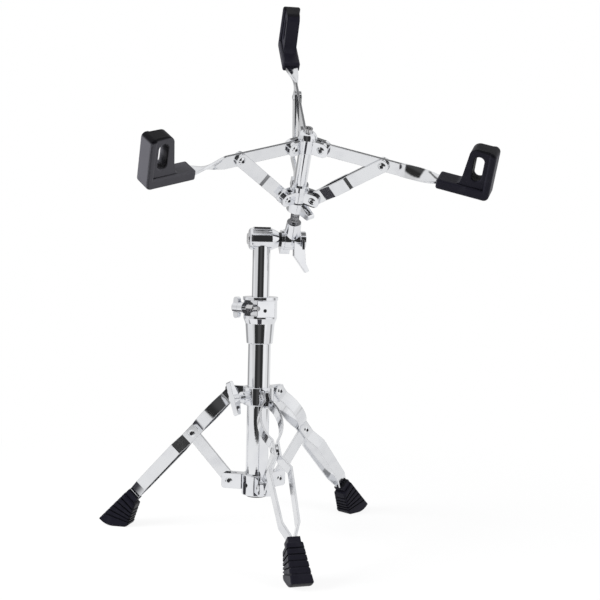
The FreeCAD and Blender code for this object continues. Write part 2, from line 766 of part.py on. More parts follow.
def make_leg_collar():
    low = f"{top_pivot_z} - leg_ring_below"
    high = f"{top_pivot_z} + leg_ring_above"
    collar = turned("leg_collar_body", [
        ("base_tube_d / 2 + slide_gap", low), ("leg_ring_d / 2 - ring_round", low, "ring_round"),
        ("leg_ring_d / 2", f"{low} + ring_round"), ("leg_ring_d / 2", f"{high} - ring_round", "ring_round"),
        ("leg_ring_d / 2 - ring_round", high), ("base_tube_d / 2 + slide_gap", high)])
    fin = symmetric_feature(collar, "PartDesign::Pad", lug_corners(
        "leg_ring_d / 2 - ring_round - 2 * side_gap", "pivot_reach + fin_half",
        f"{top_pivot_z} - leg_ring_below + side_gap",
        f"{top_pivot_z} + fin_half", "lug_corner"), "fin_t")
    three_times(collar, [fin])
    bolt_z = f"{top_pivot_z} + (leg_ring_above - leg_ring_below) / 2"
    outward = Rotation(axis_z, third_turn / 2) * Rotation(axis_y, 90)
    ring_wall = number("leg_ring_d / 2 - 2 * side_gap - base_tube_d / 2 - slide_gap")
    start = number("base_tube_d / 2 + slide_gap") + ring_wall / 2
    boss = cylinder("collar_boss", "collar_boss_d", f"collar_boss_reach - {start}", Placement(
        outward.multVec(axis_z) * start + Vector(0, 0, number(bolt_z)), outward))
    bore = cylinder("collar_bore", "collar_stem_d + 2 * fit_gap", "leg_ring_d", Placement(
        Vector(0, 0, number(bolt_z)), outward))
    collar_cut = cut("leg_collar_cut", fused("leg_collar_boss", [collar, boss]), bore)
    piece("leg_collar", collar_cut, on_column(leg_heading("left")))
    stem_start = number("base_tube_d / 2 + side_gap")
    stem_length = f"collar_boss_reach + collar_wing_gap + collar_stem_in - {stem_start}"
    stem = cylinder("collar_stem", "collar_stem_d", stem_length,
                    moved(0, 0, -number("collar_boss_reach + collar_wing_gap") + stem_start))
    handle = wing("collar_handle", "collar_wing_hub_d", "collar_wing_hub_h", "collar_wing_span",
                  "collar_wing_t", "collar_wing_tip", "collar_wing_rise")
    placed = on_column(leg_heading("left") + third_turn / 2) * moved(
        number("collar_boss_reach + collar_wing_gap"), 0, number(bolt_z))
    turn = Placement(Vector(), Rotation(axis_z, number("collar_wing_angle")))
    facing = framed(Vector(), axis_z, axis_x)
    piece("collar_wing", fused("collar_wing_bolt", [handle, stem]), placed * facing * turn)


# Height clamp and bush

def make_height_clamp():
    roof = "base_tube_top + bush_flange + 2 * side_gap"
    bore = "base_tube_d / 2 + fit_gap"
    throat = "upper_tube_d / 2 + side_gap"
    clamp = turned("height_clamp_body", [
        (bore, "skirt_bottom"), ("skirt_low_d / 2 - ring_round", "skirt_bottom"),
        ("skirt_low_d / 2", "skirt_bottom + ring_round"), ("skirt_high_d / 2", "skirt_top"),
        ("head_d / 2", "head_bottom"), ("head_d / 2", "head_top - head_rim_h"),
        ("head_rim_d / 2", "head_top - head_rim_h + head_rim_out"),
        ("head_rim_d / 2", "head_top - ring_round", "ring_round"),
        ("head_rim_d / 2 - ring_round", "head_top"),
        (throat, "head_top"), (throat, roof), (bore, roof)])
    heading = Placement(Vector(), Rotation(axis_z, number("clamp_angle")))
    bolt_middle = Vector(number("clamp_bolt_reach"), 0, number("clamp_bolt_z"))
    across = heading * Placement(bolt_middle, Rotation(axis_x, 90))
    boss_start = number("window_half - side_gap")
    boss_length = f"clamp_boss_out - {boss_start}"
    boss = cylinder("clamp_boss", "clamp_boss_d", boss_length, across * moved(0, 0, boss_start))
    opening = ("head_rim_d / 2", "2 * window_half", "window_high - window_low")
    window = box("clamp_window", opening, heading * moved(
        number("window_floor"), -number("window_half"), number("window_low")))
    bolt_hole = cylinder("clamp_bolt_hole", "clamp_bolt_d + 2 * fit_gap", "2 * head_rim_d",
                         across * moved(0, 0, -number("head_rim_d")))
    flat_reach = "upper_tube_d / 2 + side_gap + flat_wall"
    flat_turn = Placement(Vector(), Rotation(axis_z, number("flat_angle")))
    lengths = ("head_rim_d / 2", "2 * head_rim_d", "head_top - head_rim_h - flat_low")
    flat = box("clamp_flat", lengths, flat_turn * moved(
        number(flat_reach), -number("head_rim_d"), number("flat_low")))
    pin_turn = Placement(Vector(), Rotation(axis_z, number("hinge_hole_angle")))
    pin_hole = cylinder("clamp_pin_hole", "hinge_hole_d", "head_rim_d", pin_turn * moved(
        number(f"{flat_reach} - hinge_hole_depth"), 0, number("hinge_hole_z")) * turned_y(90))
    solid = fused("height_clamp_solid", [cut("height_clamp_flat", clamp, flat), boss])
    opened = cut("height_clamp_opened", solid, group("height_clamp_tools", [window, bolt_hole, pin_hole]))
    piece("height_clamp", opened, on_column())
    head_seat = number("window_half + (head_d / 2 - clamp_bolt_reach) / 2")
    shank = cylinder("clamp_bolt_shank", "clamp_bolt_d", f"{head_seat} + clamp_boss_out + clamp_wing_hub_h",
                     moved(0, 0, -head_seat))
    nut = doc.addObject("Part::Prism", "clamp_nut")
    nut.Polygon = 6
    bind(nut, "Circumradius", "clamp_nut_d / 2")
    bind(nut, "Height", "window_half")
    nut.Placement = moved(0, 0, -number("window_half") / 2)
    piece("clamp_bolt", fused("clamp_bolt_solid", [shank, nut]), on_column() * across)
    handle = wing("clamp_handle", "clamp_wing_hub_d", "clamp_wing_hub_h", "clamp_wing_span",
                  "clamp_wing_t", "clamp_wing_tip", "clamp_wing_rise")
    handle_bore = cylinder("clamp_handle_bore", "clamp_bolt_d + 2 * fit_gap", "2 * clamp_wing_hub_h",
                           moved(0, 0, -number("clamp_wing_hub_h / 2")))
    turn = Placement(Vector(), Rotation(axis_z, 90))
    placed = on_column() * across * moved(0, 0, number("clamp_boss_out + side_gap")) * turn
    piece("clamp_wing", cut("clamp_wing_nut", handle, handle_bore), placed)


def make_bush():
    bore = "upper_tube_d / 2 + fit_gap"
    bush = turned("height_bush_body", [
        (bore, "base_tube_top - bush_depth"),
        (f"({base_bore_d}) / 2 - fit_gap", "base_tube_top - bush_depth"),
        (f"({base_bore_d}) / 2 - fit_gap", "base_tube_top + side_gap"),
        ("base_tube_d / 2 - side_gap", "base_tube_top + side_gap"),
        ("base_tube_d / 2 - side_gap", "base_tube_top + side_gap + bush_flange"),
        (bore, "base_tube_top + side_gap + bush_flange")])
    piece("height_bush", bush, on_column())


# Upper tube and tilter

def make_upper_column():
    tube_top = "tilter_z - socket_gap"
    bore = "upper_tube_d / 2 - upper_tube_wall"
    tube = turned("upper_tube_body", [
        (bore, "upper_tube_bottom"), ("upper_tube_d / 2", "upper_tube_bottom"),
        ("upper_tube_d / 2", tube_top),
        (bore, tube_top)])
    piece("upper_tube", tube, on_column())
    guide = turned("tube_guide_body", [
        ("0", "upper_tube_bottom - guide_flange"),
        (f"({base_bore_d}) / 2 - fit_gap", "upper_tube_bottom - guide_flange"),
        (f"({base_bore_d}) / 2 - fit_gap", "upper_tube_bottom"), (f"{bore} - fit_gap", "upper_tube_bottom"),
        (f"{bore} - fit_gap", "upper_tube_bottom + guide_length"),
        ("0", "upper_tube_bottom + guide_length")])
    piece("tube_guide", guide, on_column())
    along = on_column(0, number("tilter_z")) * turned_y(90)
    barrel = turned("tilter_barrel_body", [
        ("tilter_bolt_d / 2 + fit_gap", "-barrel_left"),
        ("barrel_d / 2 - barrel_round", "-barrel_left", "barrel_round"),
        ("barrel_d / 2", "-barrel_left + barrel_round"), ("barrel_d / 2", "barrel_right - barrel_taper"),
        ("barrel_nose_d / 2", "barrel_right"), ("tilter_bolt_d / 2 + fit_gap", "barrel_right")])
    barrel.Placement = turned_y(90)
    pad = box("barrel_pad", ("barrel_pad_l", "barrel_pad_w", "barrel_d / 4 + barrel_pad_h"), moved(
        -number("barrel_pad_l / 2"), -number("barrel_pad_w / 2"), number("barrel_d / 4")))
    socket = cylinder("barrel_socket", "upper_tube_d + 2 * fit_gap", "barrel_d", moved(
        0, 0, -number("socket_gap + barrel_d")))
    bore_tool = cylinder("barrel_bore", "tilter_bolt_d + 2 * fit_gap", "4 * barrel_d", Placement(
        Vector(-number("2 * barrel_d"), 0, 0), Rotation(axis_y, 90)))
    tools = group("barrel_tools", [socket, bore_tool])
    whole = cut("tilter_barrel_cut", fused("tilter_barrel_fused", [barrel, pad]), tools)
    piece("tilter_barrel", whole, on_column(0, number("tilter_z")))
    bolt_end = "basket_x + tilt_head_half + tilter_wing_gap + tilter_wing_hub_h + bolt_tip"
    bolt = turned("tilter_bolt_body", [
        ("0", "-barrel_left - bolt_head_h"),
        ("bolt_head_d / 2 - bolt_head_h / 2", "-barrel_left - bolt_head_h"),
        ("bolt_head_d / 2", "-barrel_left - bolt_head_h / 2"), ("bolt_head_d / 2", "-barrel_left"),
        ("tilter_bolt_d / 2", "-barrel_left"), ("tilter_bolt_d / 2", bolt_end), ("0", bolt_end)])
    piece("tilter_bolt", bolt, along)
    washer = turned("tilter_washer_body", [
        ("tilter_bolt_d / 2 + fit_gap", "barrel_right"), ("washer_d / 2", "barrel_right"),
        ("washer_d / 2", "barrel_right + washer_t"),
        ("tilter_bolt_d / 2 + fit_gap", "barrel_right + washer_t")])
    piece("tilter_washer", washer, along)


def make_tilter_head():
    disc_start = "barrel_right + washer_t + side_gap - basket_x"
    drum = turned("tilter_head_body", [
        ("0", disc_start), ("head_disc_d / 2", disc_start),
        ("head_disc_d / 2", f"{disc_start} + head_disc_t"),
        ("tilt_head_d / 2", f"{disc_start} + head_disc_t"),
        ("tilt_head_d / 2", "tilt_head_half - ring_round", "ring_round"),
        ("tilt_head_d / 2 - ring_round", "tilt_head_half"), ("0", "tilt_head_half")])
    drum.Placement = turned_y(90)
    neck = doc.addObject("Part::Cone", "tilter_neck")
    bind(neck, "Radius1", "neck_low_d / 2")
    bind(neck, "Radius2", "neck_high_d / 2")
    bind(neck, "Height", "neck_top")
    flank = box("tilter_neck_flank", ("2 * tilt_head_half", "2 * neck_low_d", "neck_top"), moved(
        -number("tilt_head_half"), -number("neck_low_d")))
    trimmed = common("tilter_neck_trimmed", neck, flank)
    bolt_bore = cylinder("tilter_head_bore", "tilter_bolt_d + 2 * fit_gap", "4 * tilt_head_d", Placement(
        Vector(-number("2 * tilt_head_d"), 0, 0), Rotation(axis_y, 90)))
    rod_start = moved(0, 0, number("thread_bottom"))
    rod_bore = cylinder("tilter_rod_bore", "thread_d + 2 * fit_gap", "neck_top", rod_start)
    tail_side = free_sketch("tilter_tail", [
        ("-tail_half", "0"), ("-tail_half", "-tail_reach + tail_round", "tail_round"),
        ("-tail_half + tail_round", "-tail_reach"), ("tail_half - tail_round", "-tail_reach", "tail_round"),
        ("tail_half", "-tail_reach + tail_round"), ("tail_half", "0")],
        framed(Vector(number(f"{disc_start} + tail_t / 2"), 0, 0), axis_y, axis_x))
    solid = fused("tilter_head_solid", [drum, trimmed, extruded("tilter_tail_block", tail_side, "tail_t")])
    piece("tilter_head", cut("tilter_head_cut", solid, group("tilter_head_tools", [bolt_bore, rod_bore])),
          basket_frame())
    hub = cylinder("tilter_wing_hub", "tilter_wing_hub_d", "tilter_wing_hub_h", Placement())
    blade_turn = Placement(Vector(), Rotation(axis_x, -number("blade_angle")))
    blade = free_sketch("tilter_blade", [
        ("blade_top", "-blade_in"), ("blade_elbow", "-blade_in"), ("blade_tip", "blade_out / 2"),
        ("blade_tip - blade_t / 2", "blade_out"), ("blade_tip - blade_root", "blade_out / 2"),
        ("blade_root", "blade_out / 3")], moved(0, -number("blade_off")) * blade_turn * upright_plane)
    root = box("tilter_wing_root", ("blade_root", "blade_off + blade_t / 2", "tilter_wing_hub_h / 2"),
               moved(0, -number("blade_off + blade_t / 2")))
    lever = fused("tilter_lever", [hub, extruded("tilter_blade_plate", blade, "blade_t"), root])
    lever_bore = cylinder("tilter_lever_bore", "tilter_bolt_d + 2 * fit_gap", "4 * tilter_wing_hub_h",
                          moved(0, 0, -number("tilter_wing_hub_h")))
    start = Vector(number("column_x + basket_x + tilt_head_half + tilter_wing_gap"), number("column_y"),
                   number("tilter_z"))
    piece("tilter_wing", cut("tilter_wing_lever", lever, lever_bore), framed(start, axis_z * -1, axis_x))


# Basket post, hubs and knob

def make_post():
    post = turned("basket_post_body", [
        ("0", "thread_bottom"), ("thread_d / 2", "thread_bottom"), ("thread_d / 2", "post_bottom"),
        ("post_d / 2", "post_bottom"), ("post_d / 2", "hub_height"), ("0", "hub_height")])
    piece("basket_post", post, basket_frame())


def add_lugs(hub, lug_half, lug_round, lug_width, slot_width):
    lug = symmetric_feature(hub, "PartDesign::Pad", lug_corners(
        "post_d / 2 + lug_overlap", f"hub_pivot_r + {lug_half}", f"-{lug_half}", lug_half, lug_round),
        lug_width)
    slot = symmetric_feature(hub, "PartDesign::Pocket", lug_corners(
        "hub_pivot_r - strip_width / 2 - side_gap", f"hub_pivot_r + 2 * {lug_half}", f"-2 * {lug_half}",
        f"2 * {lug_half}", "side_gap"), slot_width)
    ring = circle_corners("hub_pivot_r", "0", "(rivet_d / 2 + fit_gap)")
    hole = symmetric_feature(hub, "PartDesign::Pocket", ring, f"2 * ({lug_width})")
    three_times(hub, [lug, slot, hole])


def hub_rivets(label, height, grip):
    pins = []
    for name in arm_headings:
        pin = rivet(f"{label}_{name}", grip)
        pin.Placement = hub_frame(name, height) * moved(number("hub_pivot_r")) * sideways
        pins.append(pin)
    piece(label, group(label + "_group", pins))


def make_hubs():
    bore = "post_d / 2 + fit_gap"
    cap_top = "hub_half + hub_cap_h"
    upper = turned("upper_hub_body", [
        (bore, "-hub_half"), ("hub_boss_d / 2 - ring_round", "-hub_half", "ring_round"),
        ("hub_boss_d / 2", "-hub_half + ring_round"), ("hub_boss_d / 2", "hub_half", "hub_cap_round"),
        ("hub_cap_d / 2", cap_top), ("hub_screw_d / 2 + fit_gap", cap_top),
        ("hub_screw_d / 2 + fit_gap", "side_gap"),
        (bore, "side_gap")])
    add_lugs(upper, "hub_lug_half", "hub_lug_round", hub_lug_w, "arm_t + 2 * side_gap")
    piece("upper_hub", upper, hub_frame("back", "hub_height"))
    shank_start = moved(0, 0, number("side_gap"))
    shank = cylinder("hub_screw_shank", "hub_screw_d", f"{cap_top} - side_gap", shank_start)
    head = cylinder("hub_screw_cap", "hub_screw_head", "hub_screw_h", moved(0, 0, number(cap_top)))
    socket = doc.addObject("Part::Prism", "hub_screw_hex")
    socket.Polygon = 6
    bind(socket, "Circumradius", "hub_socket_d / 2")
    bind(socket, "Height", "2 * hub_socket_h")
    socket.Placement = moved(0, 0, number(f"{cap_top} + hub_screw_h - hub_socket_h"))
    solid = fused("hub_screw_solid", [shank, head])
    piece("hub_screw", cut("hub_screw_cut", solid, socket), hub_frame("back", "hub_height"))
    hub_rivets("hub_rivets", "hub_height", hub_lug_w)
    slide = "post_d / 2 + slide_gap"
    slider = turned("slider_hub_body", [
        (slide, "-slider_half"), ("hub_boss_d / 2 - ring_round", "-slider_half", "ring_round"),
        ("hub_boss_d / 2", "-slider_half + ring_round"), ("hub_boss_d / 2", "slider_half"),
        ("slider_neck_d / 2", "slider_half + slider_neck_h"), (slide, "slider_half + slider_neck_h")])
    add_lugs(slider, "slider_half", "slider_lug_round", slider_lug_w, slider_slot_w)
    piece("slider_hub", slider, hub_frame("back", slider_pivot_s))
    hub_rivets("slider_rivets", slider_pivot_s, slider_lug_w)
    knob = wing("basket_knob_wing", "knob_hub_d", "knob_hub_h", "knob_span", "knob_wing_t", "knob_wing_tip",
                "knob_wing_rise")
    knob_bore = cylinder("basket_knob_bore", "post_d + 2 * slide_gap", "2 * knob_hub_h",
                         moved(0, 0, -number("knob_hub_h / 2")))
    below = number(f"{slider_pivot_s} - slider_half - knob_gap")
    facing = Placement(Vector(0, 0, below), Rotation(axis_z, number("knob_angle")) * Rotation(axis_x, 180))
    piece("basket_knob", cut("basket_knob_nut", knob, knob_bore), basket_frame() * facing)


# Basket arms, stays and pads

def strip_section(along, angle):
    # The arm's rectangular section at a distance along it, turned about the arm.
    high, thick = number("strip_width / 2"), number("arm_t / 2")
    turn = Rotation(axis_x, angle)
    corners = [Vector(along, 0, 0) + turn.multVec(Vector(0, y, z))
               for y, z in ((thick, high), (-thick, high), (-thick, -high), (thick, -high))]
    return Part.makePolygon(corners + corners[:1])


def make_arm(name):
    quarter, steps = -90.0, 8
    start, length = number("twist_start"), number("twist_length")
    shares = [step / steps for step in range(steps + 1)]
    sections = [strip_section(start + length * share, quarter * share) for share in shares]
    twist = Part.makeLoft(sections, True, False)
    tail_ends = [strip_section(start + length, quarter), strip_section(number("arm_end"), quarter)]
    tail = Part.makeLoft(tail_ends, True)
    high = number("strip_width / 2")
    inner = Part.makeCylinder(high, number("arm_t"), Vector(0, number("arm_t / 2"), 0), axis_y * -1)
    blade = Part.makeBox(start, number("arm_t"), 2 * high, Vector(0, -number("arm_t / 2"), -high))
    depth = number("arm_t")
    hole = Part.makeCylinder(number("rivet_d / 2 + fit_gap"), 4 * depth, Vector(0, 2 * depth, 0),
                             axis_y * -1)
    arm = doc.addObject("Part::Feature", f"arm_{name}_strip")
    arm.Shape = blade.fuse([inner, twist, tail]).removeSplitter().cut(hole)
    piece(f"arm_{name}", arm, arm_frame(name))


def make_stay(name):
    half = "strip_width / 2"
    near = "stay_pair_gap / 2"
    wide = "arm_t / 2 + side_gap"
    path = [(f"-{half} - side_gap", near), ("bow_from", near), ("bow_to", "stay_bow"),
            (f"{stay_length} - joggle_at - joggle_run", "stay_bow"), (f"{stay_length} - joggle_at", wide),
            (f"{stay_length} + {half} + side_gap", wide)]
    thick = doc.addObject("Part::Offset2D", f"stay_{name}_thickness")
    thick.Source = free_sketch(f"stay_{name}_bends", path, closed=False)
    thick.Mode = 0
    thick.Join = 2
    thick.Fill = True
    bind(thick, "Value", "-stay_strip_t")
    strip = extruded(f"stay_{name}_strip", thick, "strip_width")
    other = doc.addObject("Part::Mirroring", f"stay_{name}_other_strip")
    other.Source = strip
    other.Normal = axis_y
    pair = group(f"stay_{name}_pair", [strip, other])
    outline = free_sketch(f"stay_{name}_face", strip_corners(stay_length, half), upright_plane, holes=[
        ("0", "0", "rivet_d + 2 * fit_gap"), (stay_length, "0", "rivet_d + 2 * fit_gap")])
    face = extruded(f"stay_{name}_face_block", outline, "2 * strip_width")
    piece(f"stay_{name}", common(f"stay_{name}_strips", pair, face), stay_frame(name))
    heads = []
    for side in (1, -1):
        head = rivet_head(f"stay_{name}_rivet", "stay_strip_t")
        outer = moved(number(stay_length), side * number(f"{wide} + stay_strip_t"), 0)
        head.Placement = stay_frame(name) * outer * Placement(Vector(), Rotation(axis_x, -90 * side))
        heads.append(head)
    piece(f"stay_rivets_{name}", group(f"stay_{name}_rivet_group", heads))


def round_sides(body, half_width, radius, middle="0", reach="pad_end"):
    # Rounds the edges along the body's two side faces that lie within the reach of a middle line.
    solid, side, centre, limit = body.Tip, number(half_width), number(middle), number(f"{reach} + fit_gap")
    edges = [f"Edge{index}" for index, edge in enumerate(solid.Shape.Edges, start=1)
             if all(math.isclose(abs(vertex.Y), side, abs_tol=1e-6) and abs(vertex.X - centre) < limit
                    for vertex in edge.Vertexes)]
    smooth = body.newObject("PartDesign::Fillet", body.Name + "_rounded")
    smooth.Base = (solid, edges)
    bind(smooth, "Radius", radius)
    body.Tip = smooth
    doc.recompute()


def make_pad(name):
    pad = doc.addObject("PartDesign::Body", f"pad_{name}_body")
    corner = "pad_corner_round"
    symmetric_feature(pad, "PartDesign::Pad", [
        ("pad_start", "-pad_bottom"), (f"pad_end - {corner}", "-pad_bottom", corner),
        ("pad_end", f"-pad_bottom + {corner}"), ("pad_end", f"pad_top - {corner}", corner),
        (f"pad_end - {corner}", "pad_top"), ("pad_end - pad_rim", "pad_top"),
        ("pad_end - pad_rim", "pad_seat"),
        ("pad_start", "pad_seat")], "pad_width")
    top = "pad_top_round"
    symmetric_feature(pad, "PartDesign::Pad", [
        (f"pad_corner - {corner}", "pad_seat - pad_edge"), (f"pad_end - {corner}", "pad_seat - pad_edge"),
        (f"pad_end - {corner}", "pad_top"), (f"pad_corner + pad_lean + {top}", "pad_top", top),
        ("pad_corner + pad_lean", f"pad_top - {top}"), ("pad_corner", f"pad_seat + {corner}", f"-{corner}"),
        (f"pad_corner - {corner}", "pad_seat")], "pad_web_width")
    half = "pad_window_wide / 2"
    low, high = f"pad_window_low + {half}", f"pad_window_high - {half}"
    left, right = f"pad_window_at - {half}", f"pad_window_at + {half}"
    symmetric_feature(pad, "PartDesign::Pocket", [
        (right, low), (right, high, half), ("pad_window_at", "pad_window_high", half),
        (left, high), (left, low, half), ("pad_window_at", "pad_window_low", half)], "2 * pad_width")
    round_sides(pad, "pad_width / 2", "pad_edge")
    round_sides(pad, "pad_web_width / 2", "web_edge", "pad_window_at", "pad_window_wide / 2")
    lengths = ("arm_end", "strip_width + 2 * fit_gap", "arm_t + 2 * fit_gap")
    arm_slot = box(f"pad_{name}_arm_slot", lengths, moved(
        0, -number("strip_width / 2 + fit_gap"), -number("arm_t / 2 + fit_gap")))
    piece(f"pad_{name}", cut(f"pad_{name}_cut", pad, arm_slot), arm_frame(name))


make_base_tube()
make_lower_collar()
for leg_name in leg_headings:
    make_leg(leg_name)
    make_brace(leg_name)
    make_foot(leg_name)
make_leg_collar()
make_height_clamp()
make_bush()
make_upper_column()
make_tilter_head()
make_post()
make_hubs()
for arm_name in arm_headings:
    make_arm(arm_name)
    make_stay(arm_name)
    make_pad(arm_name)
doc.recompute()

# Every object is checked before anything is written
for thing in doc.Objects:
    if "Invalid" in thing.State or "Error" in thing.State:
        raise RuntimeError(f"{thing.Name} failed: {thing.State} {thing.getStatusString()}")
for thing in pieces:
    if thing.Shape.isNull() or not thing.Shape.isValid() or not thing.Shape.Solids:
        raise RuntimeError(f"{thing.Label} has no valid solid")

os.makedirs("parts", exist_ok=True)
for thing in pieces:
    thing.Shape.exportStep(f"parts/{thing.Label}.step")

whole = FreeCAD.BoundBox()
for thing in pieces:
    whole.add(thing.Shape.BoundBox)
print(len(pieces), "pieces; box", whole, "; middle", whole.Center)
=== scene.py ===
import json
import math

import bpy
from mathutils import Matrix, Vector


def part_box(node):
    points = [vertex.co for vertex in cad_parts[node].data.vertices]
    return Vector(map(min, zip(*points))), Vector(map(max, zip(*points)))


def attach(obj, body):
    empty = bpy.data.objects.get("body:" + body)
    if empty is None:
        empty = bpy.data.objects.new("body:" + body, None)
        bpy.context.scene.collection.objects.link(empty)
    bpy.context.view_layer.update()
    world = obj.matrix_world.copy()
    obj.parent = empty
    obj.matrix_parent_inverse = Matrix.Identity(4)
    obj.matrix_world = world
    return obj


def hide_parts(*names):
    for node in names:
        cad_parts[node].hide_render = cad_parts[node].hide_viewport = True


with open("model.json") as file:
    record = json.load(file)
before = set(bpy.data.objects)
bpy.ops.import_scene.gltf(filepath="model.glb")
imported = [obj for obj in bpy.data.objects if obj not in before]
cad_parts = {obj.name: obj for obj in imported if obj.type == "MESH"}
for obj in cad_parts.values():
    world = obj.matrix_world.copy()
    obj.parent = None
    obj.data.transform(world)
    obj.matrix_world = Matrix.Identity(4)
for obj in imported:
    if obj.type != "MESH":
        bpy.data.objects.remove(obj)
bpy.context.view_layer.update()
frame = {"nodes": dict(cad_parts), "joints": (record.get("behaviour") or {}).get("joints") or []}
nodes = frame["nodes"]
joints = {joint["name"]: joint for joint in frame["joints"]}
scene = bpy.context.scene
scene.view_settings.view_transform = "Standard"


class Wire:
    # one socket of a node tree; arithmetic on wires adds Math nodes
    def __init__(self, tree, socket=None):
        self.tree = tree
        self.socket = socket

    def add(self, kind, settings=None, values=None, out=0):
        node = self.tree.nodes.new(kind)
        for name, value in (settings or {}).items():
            setattr(node, name, value)
        for name, value in (values or {}).items():
            if isinstance(value, Wire):
                self.tree.links.new(value.socket, node.inputs[name])
            else:
                node.inputs[name].default_value = value
        return Wire(self.tree, node.outputs[out] if node.outputs else None)

    def maths(self, operation, first, second):
        return self.add("ShaderNodeMath", {"operation": operation}, {0: first, 1: second})

    def measure(self, operation, *vectors):
        # a number from one vector or two
        return self.add("ShaderNodeVectorMath", {"operation": operation}, dict(enumerate(vectors)), "Value")

    def part(self, axis):
        return self.add("ShaderNodeSeparateXYZ", None, {0: self}, axis)

    def __add__(self, other):
        return self.maths("ADD", self, other)

    def __radd__(self, other):
        return self.maths("ADD", other, self)

    def __sub__(self, other):
        return self.maths("SUBTRACT", self, other)

    def __rsub__(self, other):
        return self.maths("SUBTRACT", other, self)

    def __mul__(self, other):
        return self.maths("MULTIPLY", self, other)

    def __rmul__(self, other):
        return self.maths("MULTIPLY", other, self)

    def __truediv__(self, other):
        return self.maths("DIVIDE", self, other)

    def __rtruediv__(self, other):
        return self.maths("DIVIDE", other, self)

    def __pow__(self, other):
        return self.maths("POWER", self, other)


def smooth(value, low, high):
    # 0 below low, 1 above high, soft between
    return value.add("ShaderNodeMapRange", {"interpolation_type": "SMOOTHSTEP"},
                     {"Value": value, "From Min": low, "From Max": high})


noiseRough = 0.55


def noise(tree, place, pattern):
    return tree.add("ShaderNodeTexNoise", None, {
        "Vector": place, "Scale": pattern["scale"], "Detail": pattern["detail"],
        "Roughness": noiseRough}, "Fac")


def patches(tree, place, pattern):
    # spots with soft edges, where the noise is high
    return smooth(noise(tree, place, pattern), pattern["low"], pattern["high"])


def relief(tree, height, grain, normal=None):
    values = {"Strength": grain["strength"], "Distance": grain["depth"], "Height": height}
    if normal:
        values["Normal"] = normal
    return tree.add("ShaderNodeBump", None, values)


def mixColour(tree, factor, first, second):
    # sockets 6 and 7 are the node's two colours, and its output 2 is their mix
    return tree.add("ShaderNodeMix", {"data_type": "RGBA"}, {0: factor, 6: first, 7: second}, 2)


def newFinish(name):
    finish = bpy.data.materials.new(name)
    finish.use_nodes = True
    finish.node_tree.nodes.clear()
    return finish, Wire(finish.node_tree)


def plate(tree, shade, rough, bump):
    surface = tree.add("ShaderNodeBsdfPrincipled", None, {
        "Base Color": shade, "Metallic": 1.0, "Roughness": rough, "Normal": bump})
    tree.add("ShaderNodeOutputMaterial", None, {"Surface": surface})


def objectPlace(tree, turn=(0.0, 0.0, 0.0), stretch=(1.0, 1.0, 1.0)):
    place = tree.add("ShaderNodeTexCoord", None, None, "Object")
    place = tree.add("ShaderNodeMapping", None, {"Vector": place, "Rotation": turn})
    return tree.add("ShaderNodeVectorMath", {"operation": "MULTIPLY"}, {0: place, 1: stretch})


edgeSight = {"samples": 4, "lean": (0.01, 0.25)}


def edgeMask(tree, radius):
    # how far the rounded normal leans away from the face, so 1 along an edge
    rounded = tree.add("ShaderNodeBevel", {"samples": edgeSight["samples"]}, {"Radius": radius})
    flat = tree.add("ShaderNodeNewGeometry", None, None, "Normal")
    facing = tree.measure("DOT_PRODUCT", rounded, flat)
    return rounded, smooth(1.0 - facing, *edgeSight["lean"])


# plated tubes: mirror bright, with wiping marks along them
tubeLook = {"tint": (0.86, 0.87, 0.89, 1.0), "hazeTint": (0.82, 0.83, 0.86, 1.0),
            "rough": 0.035, "smearRough": 0.05, "smearStretch": (420.0, 420.0, 16.0),
            "smear": {"scale": 1.0, "detail": 4.0, "low": 0.48, "high": 0.8},
            "haze": {"scale": 38.0, "detail": 2.0, "low": 0.45, "high": 0.75},
            "peel": {"scale": 420.0, "detail": 1.0, "strength": 0.25, "depth": 0.00004}}


def tubeFinish(name, turn=(0.0, 0.0, 0.0)):
    finish, tree = newFinish(name)
    place = objectPlace(tree)
    smear = patches(tree, objectPlace(tree, turn, tubeLook["smearStretch"]), tubeLook["smear"])
    haze = patches(tree, place, tubeLook["haze"])
    peel = noise(tree, place, tubeLook["peel"])
    rough = tubeLook["rough"] + tubeLook["smearRough"] * smear * haze
    shade = mixColour(tree, haze, tubeLook["tint"], tubeLook["hazeTint"])
    plate(tree, shade, rough, relief(tree, peel, tubeLook["peel"]))
    return finish


# die-cast fittings: bright plate over a slightly wavy casting, with soft edges that are darkened as painted
# shade
castLook = {"tint": (0.84, 0.85, 0.875, 1.0), "deep": (0.79, 0.8, 0.83, 1.0),
            "rough": 0.045, "cloudRough": 0.03, "pitRough": 0.06,
            "cloud": {"scale": 95.0, "detail": 4.0, "low": 0.4, "high": 0.75},
            "pits": {"scale": 1900.0, "detail": 2.0, "low": 0.68, "high": 0.8},
            "wave": {"scale": 110.0, "detail": 2.0, "strength": 0.35, "depth": 0.00008},
            "edge": 0.0007, "edgeShadeTint": (0.5, 0.5, 0.53, 1.0), "edgeShare": 0.7}


def castFinish(name):
    finish, tree = newFinish(name)
    place = objectPlace(tree)
    rounded, rim = edgeMask(tree, castLook["edge"])
    cloud = patches(tree, place, castLook["cloud"])
    pits = patches(tree, place, castLook["pits"])
    wave = noise(tree, place, castLook["wave"])
    rough = castLook["rough"] + castLook["cloudRough"] * cloud + castLook["pitRough"] * pits
    shade = mixColour(tree, cloud, castLook["tint"], castLook["deep"])
    # painted shade: the edges are darkened
    shade = mixColour(tree, rim * castLook["edgeShare"], shade, castLook["edgeShadeTint"])
    plate(tree, shade, rough, relief(tree, wave, castLook["wave"], rounded))
    return finish
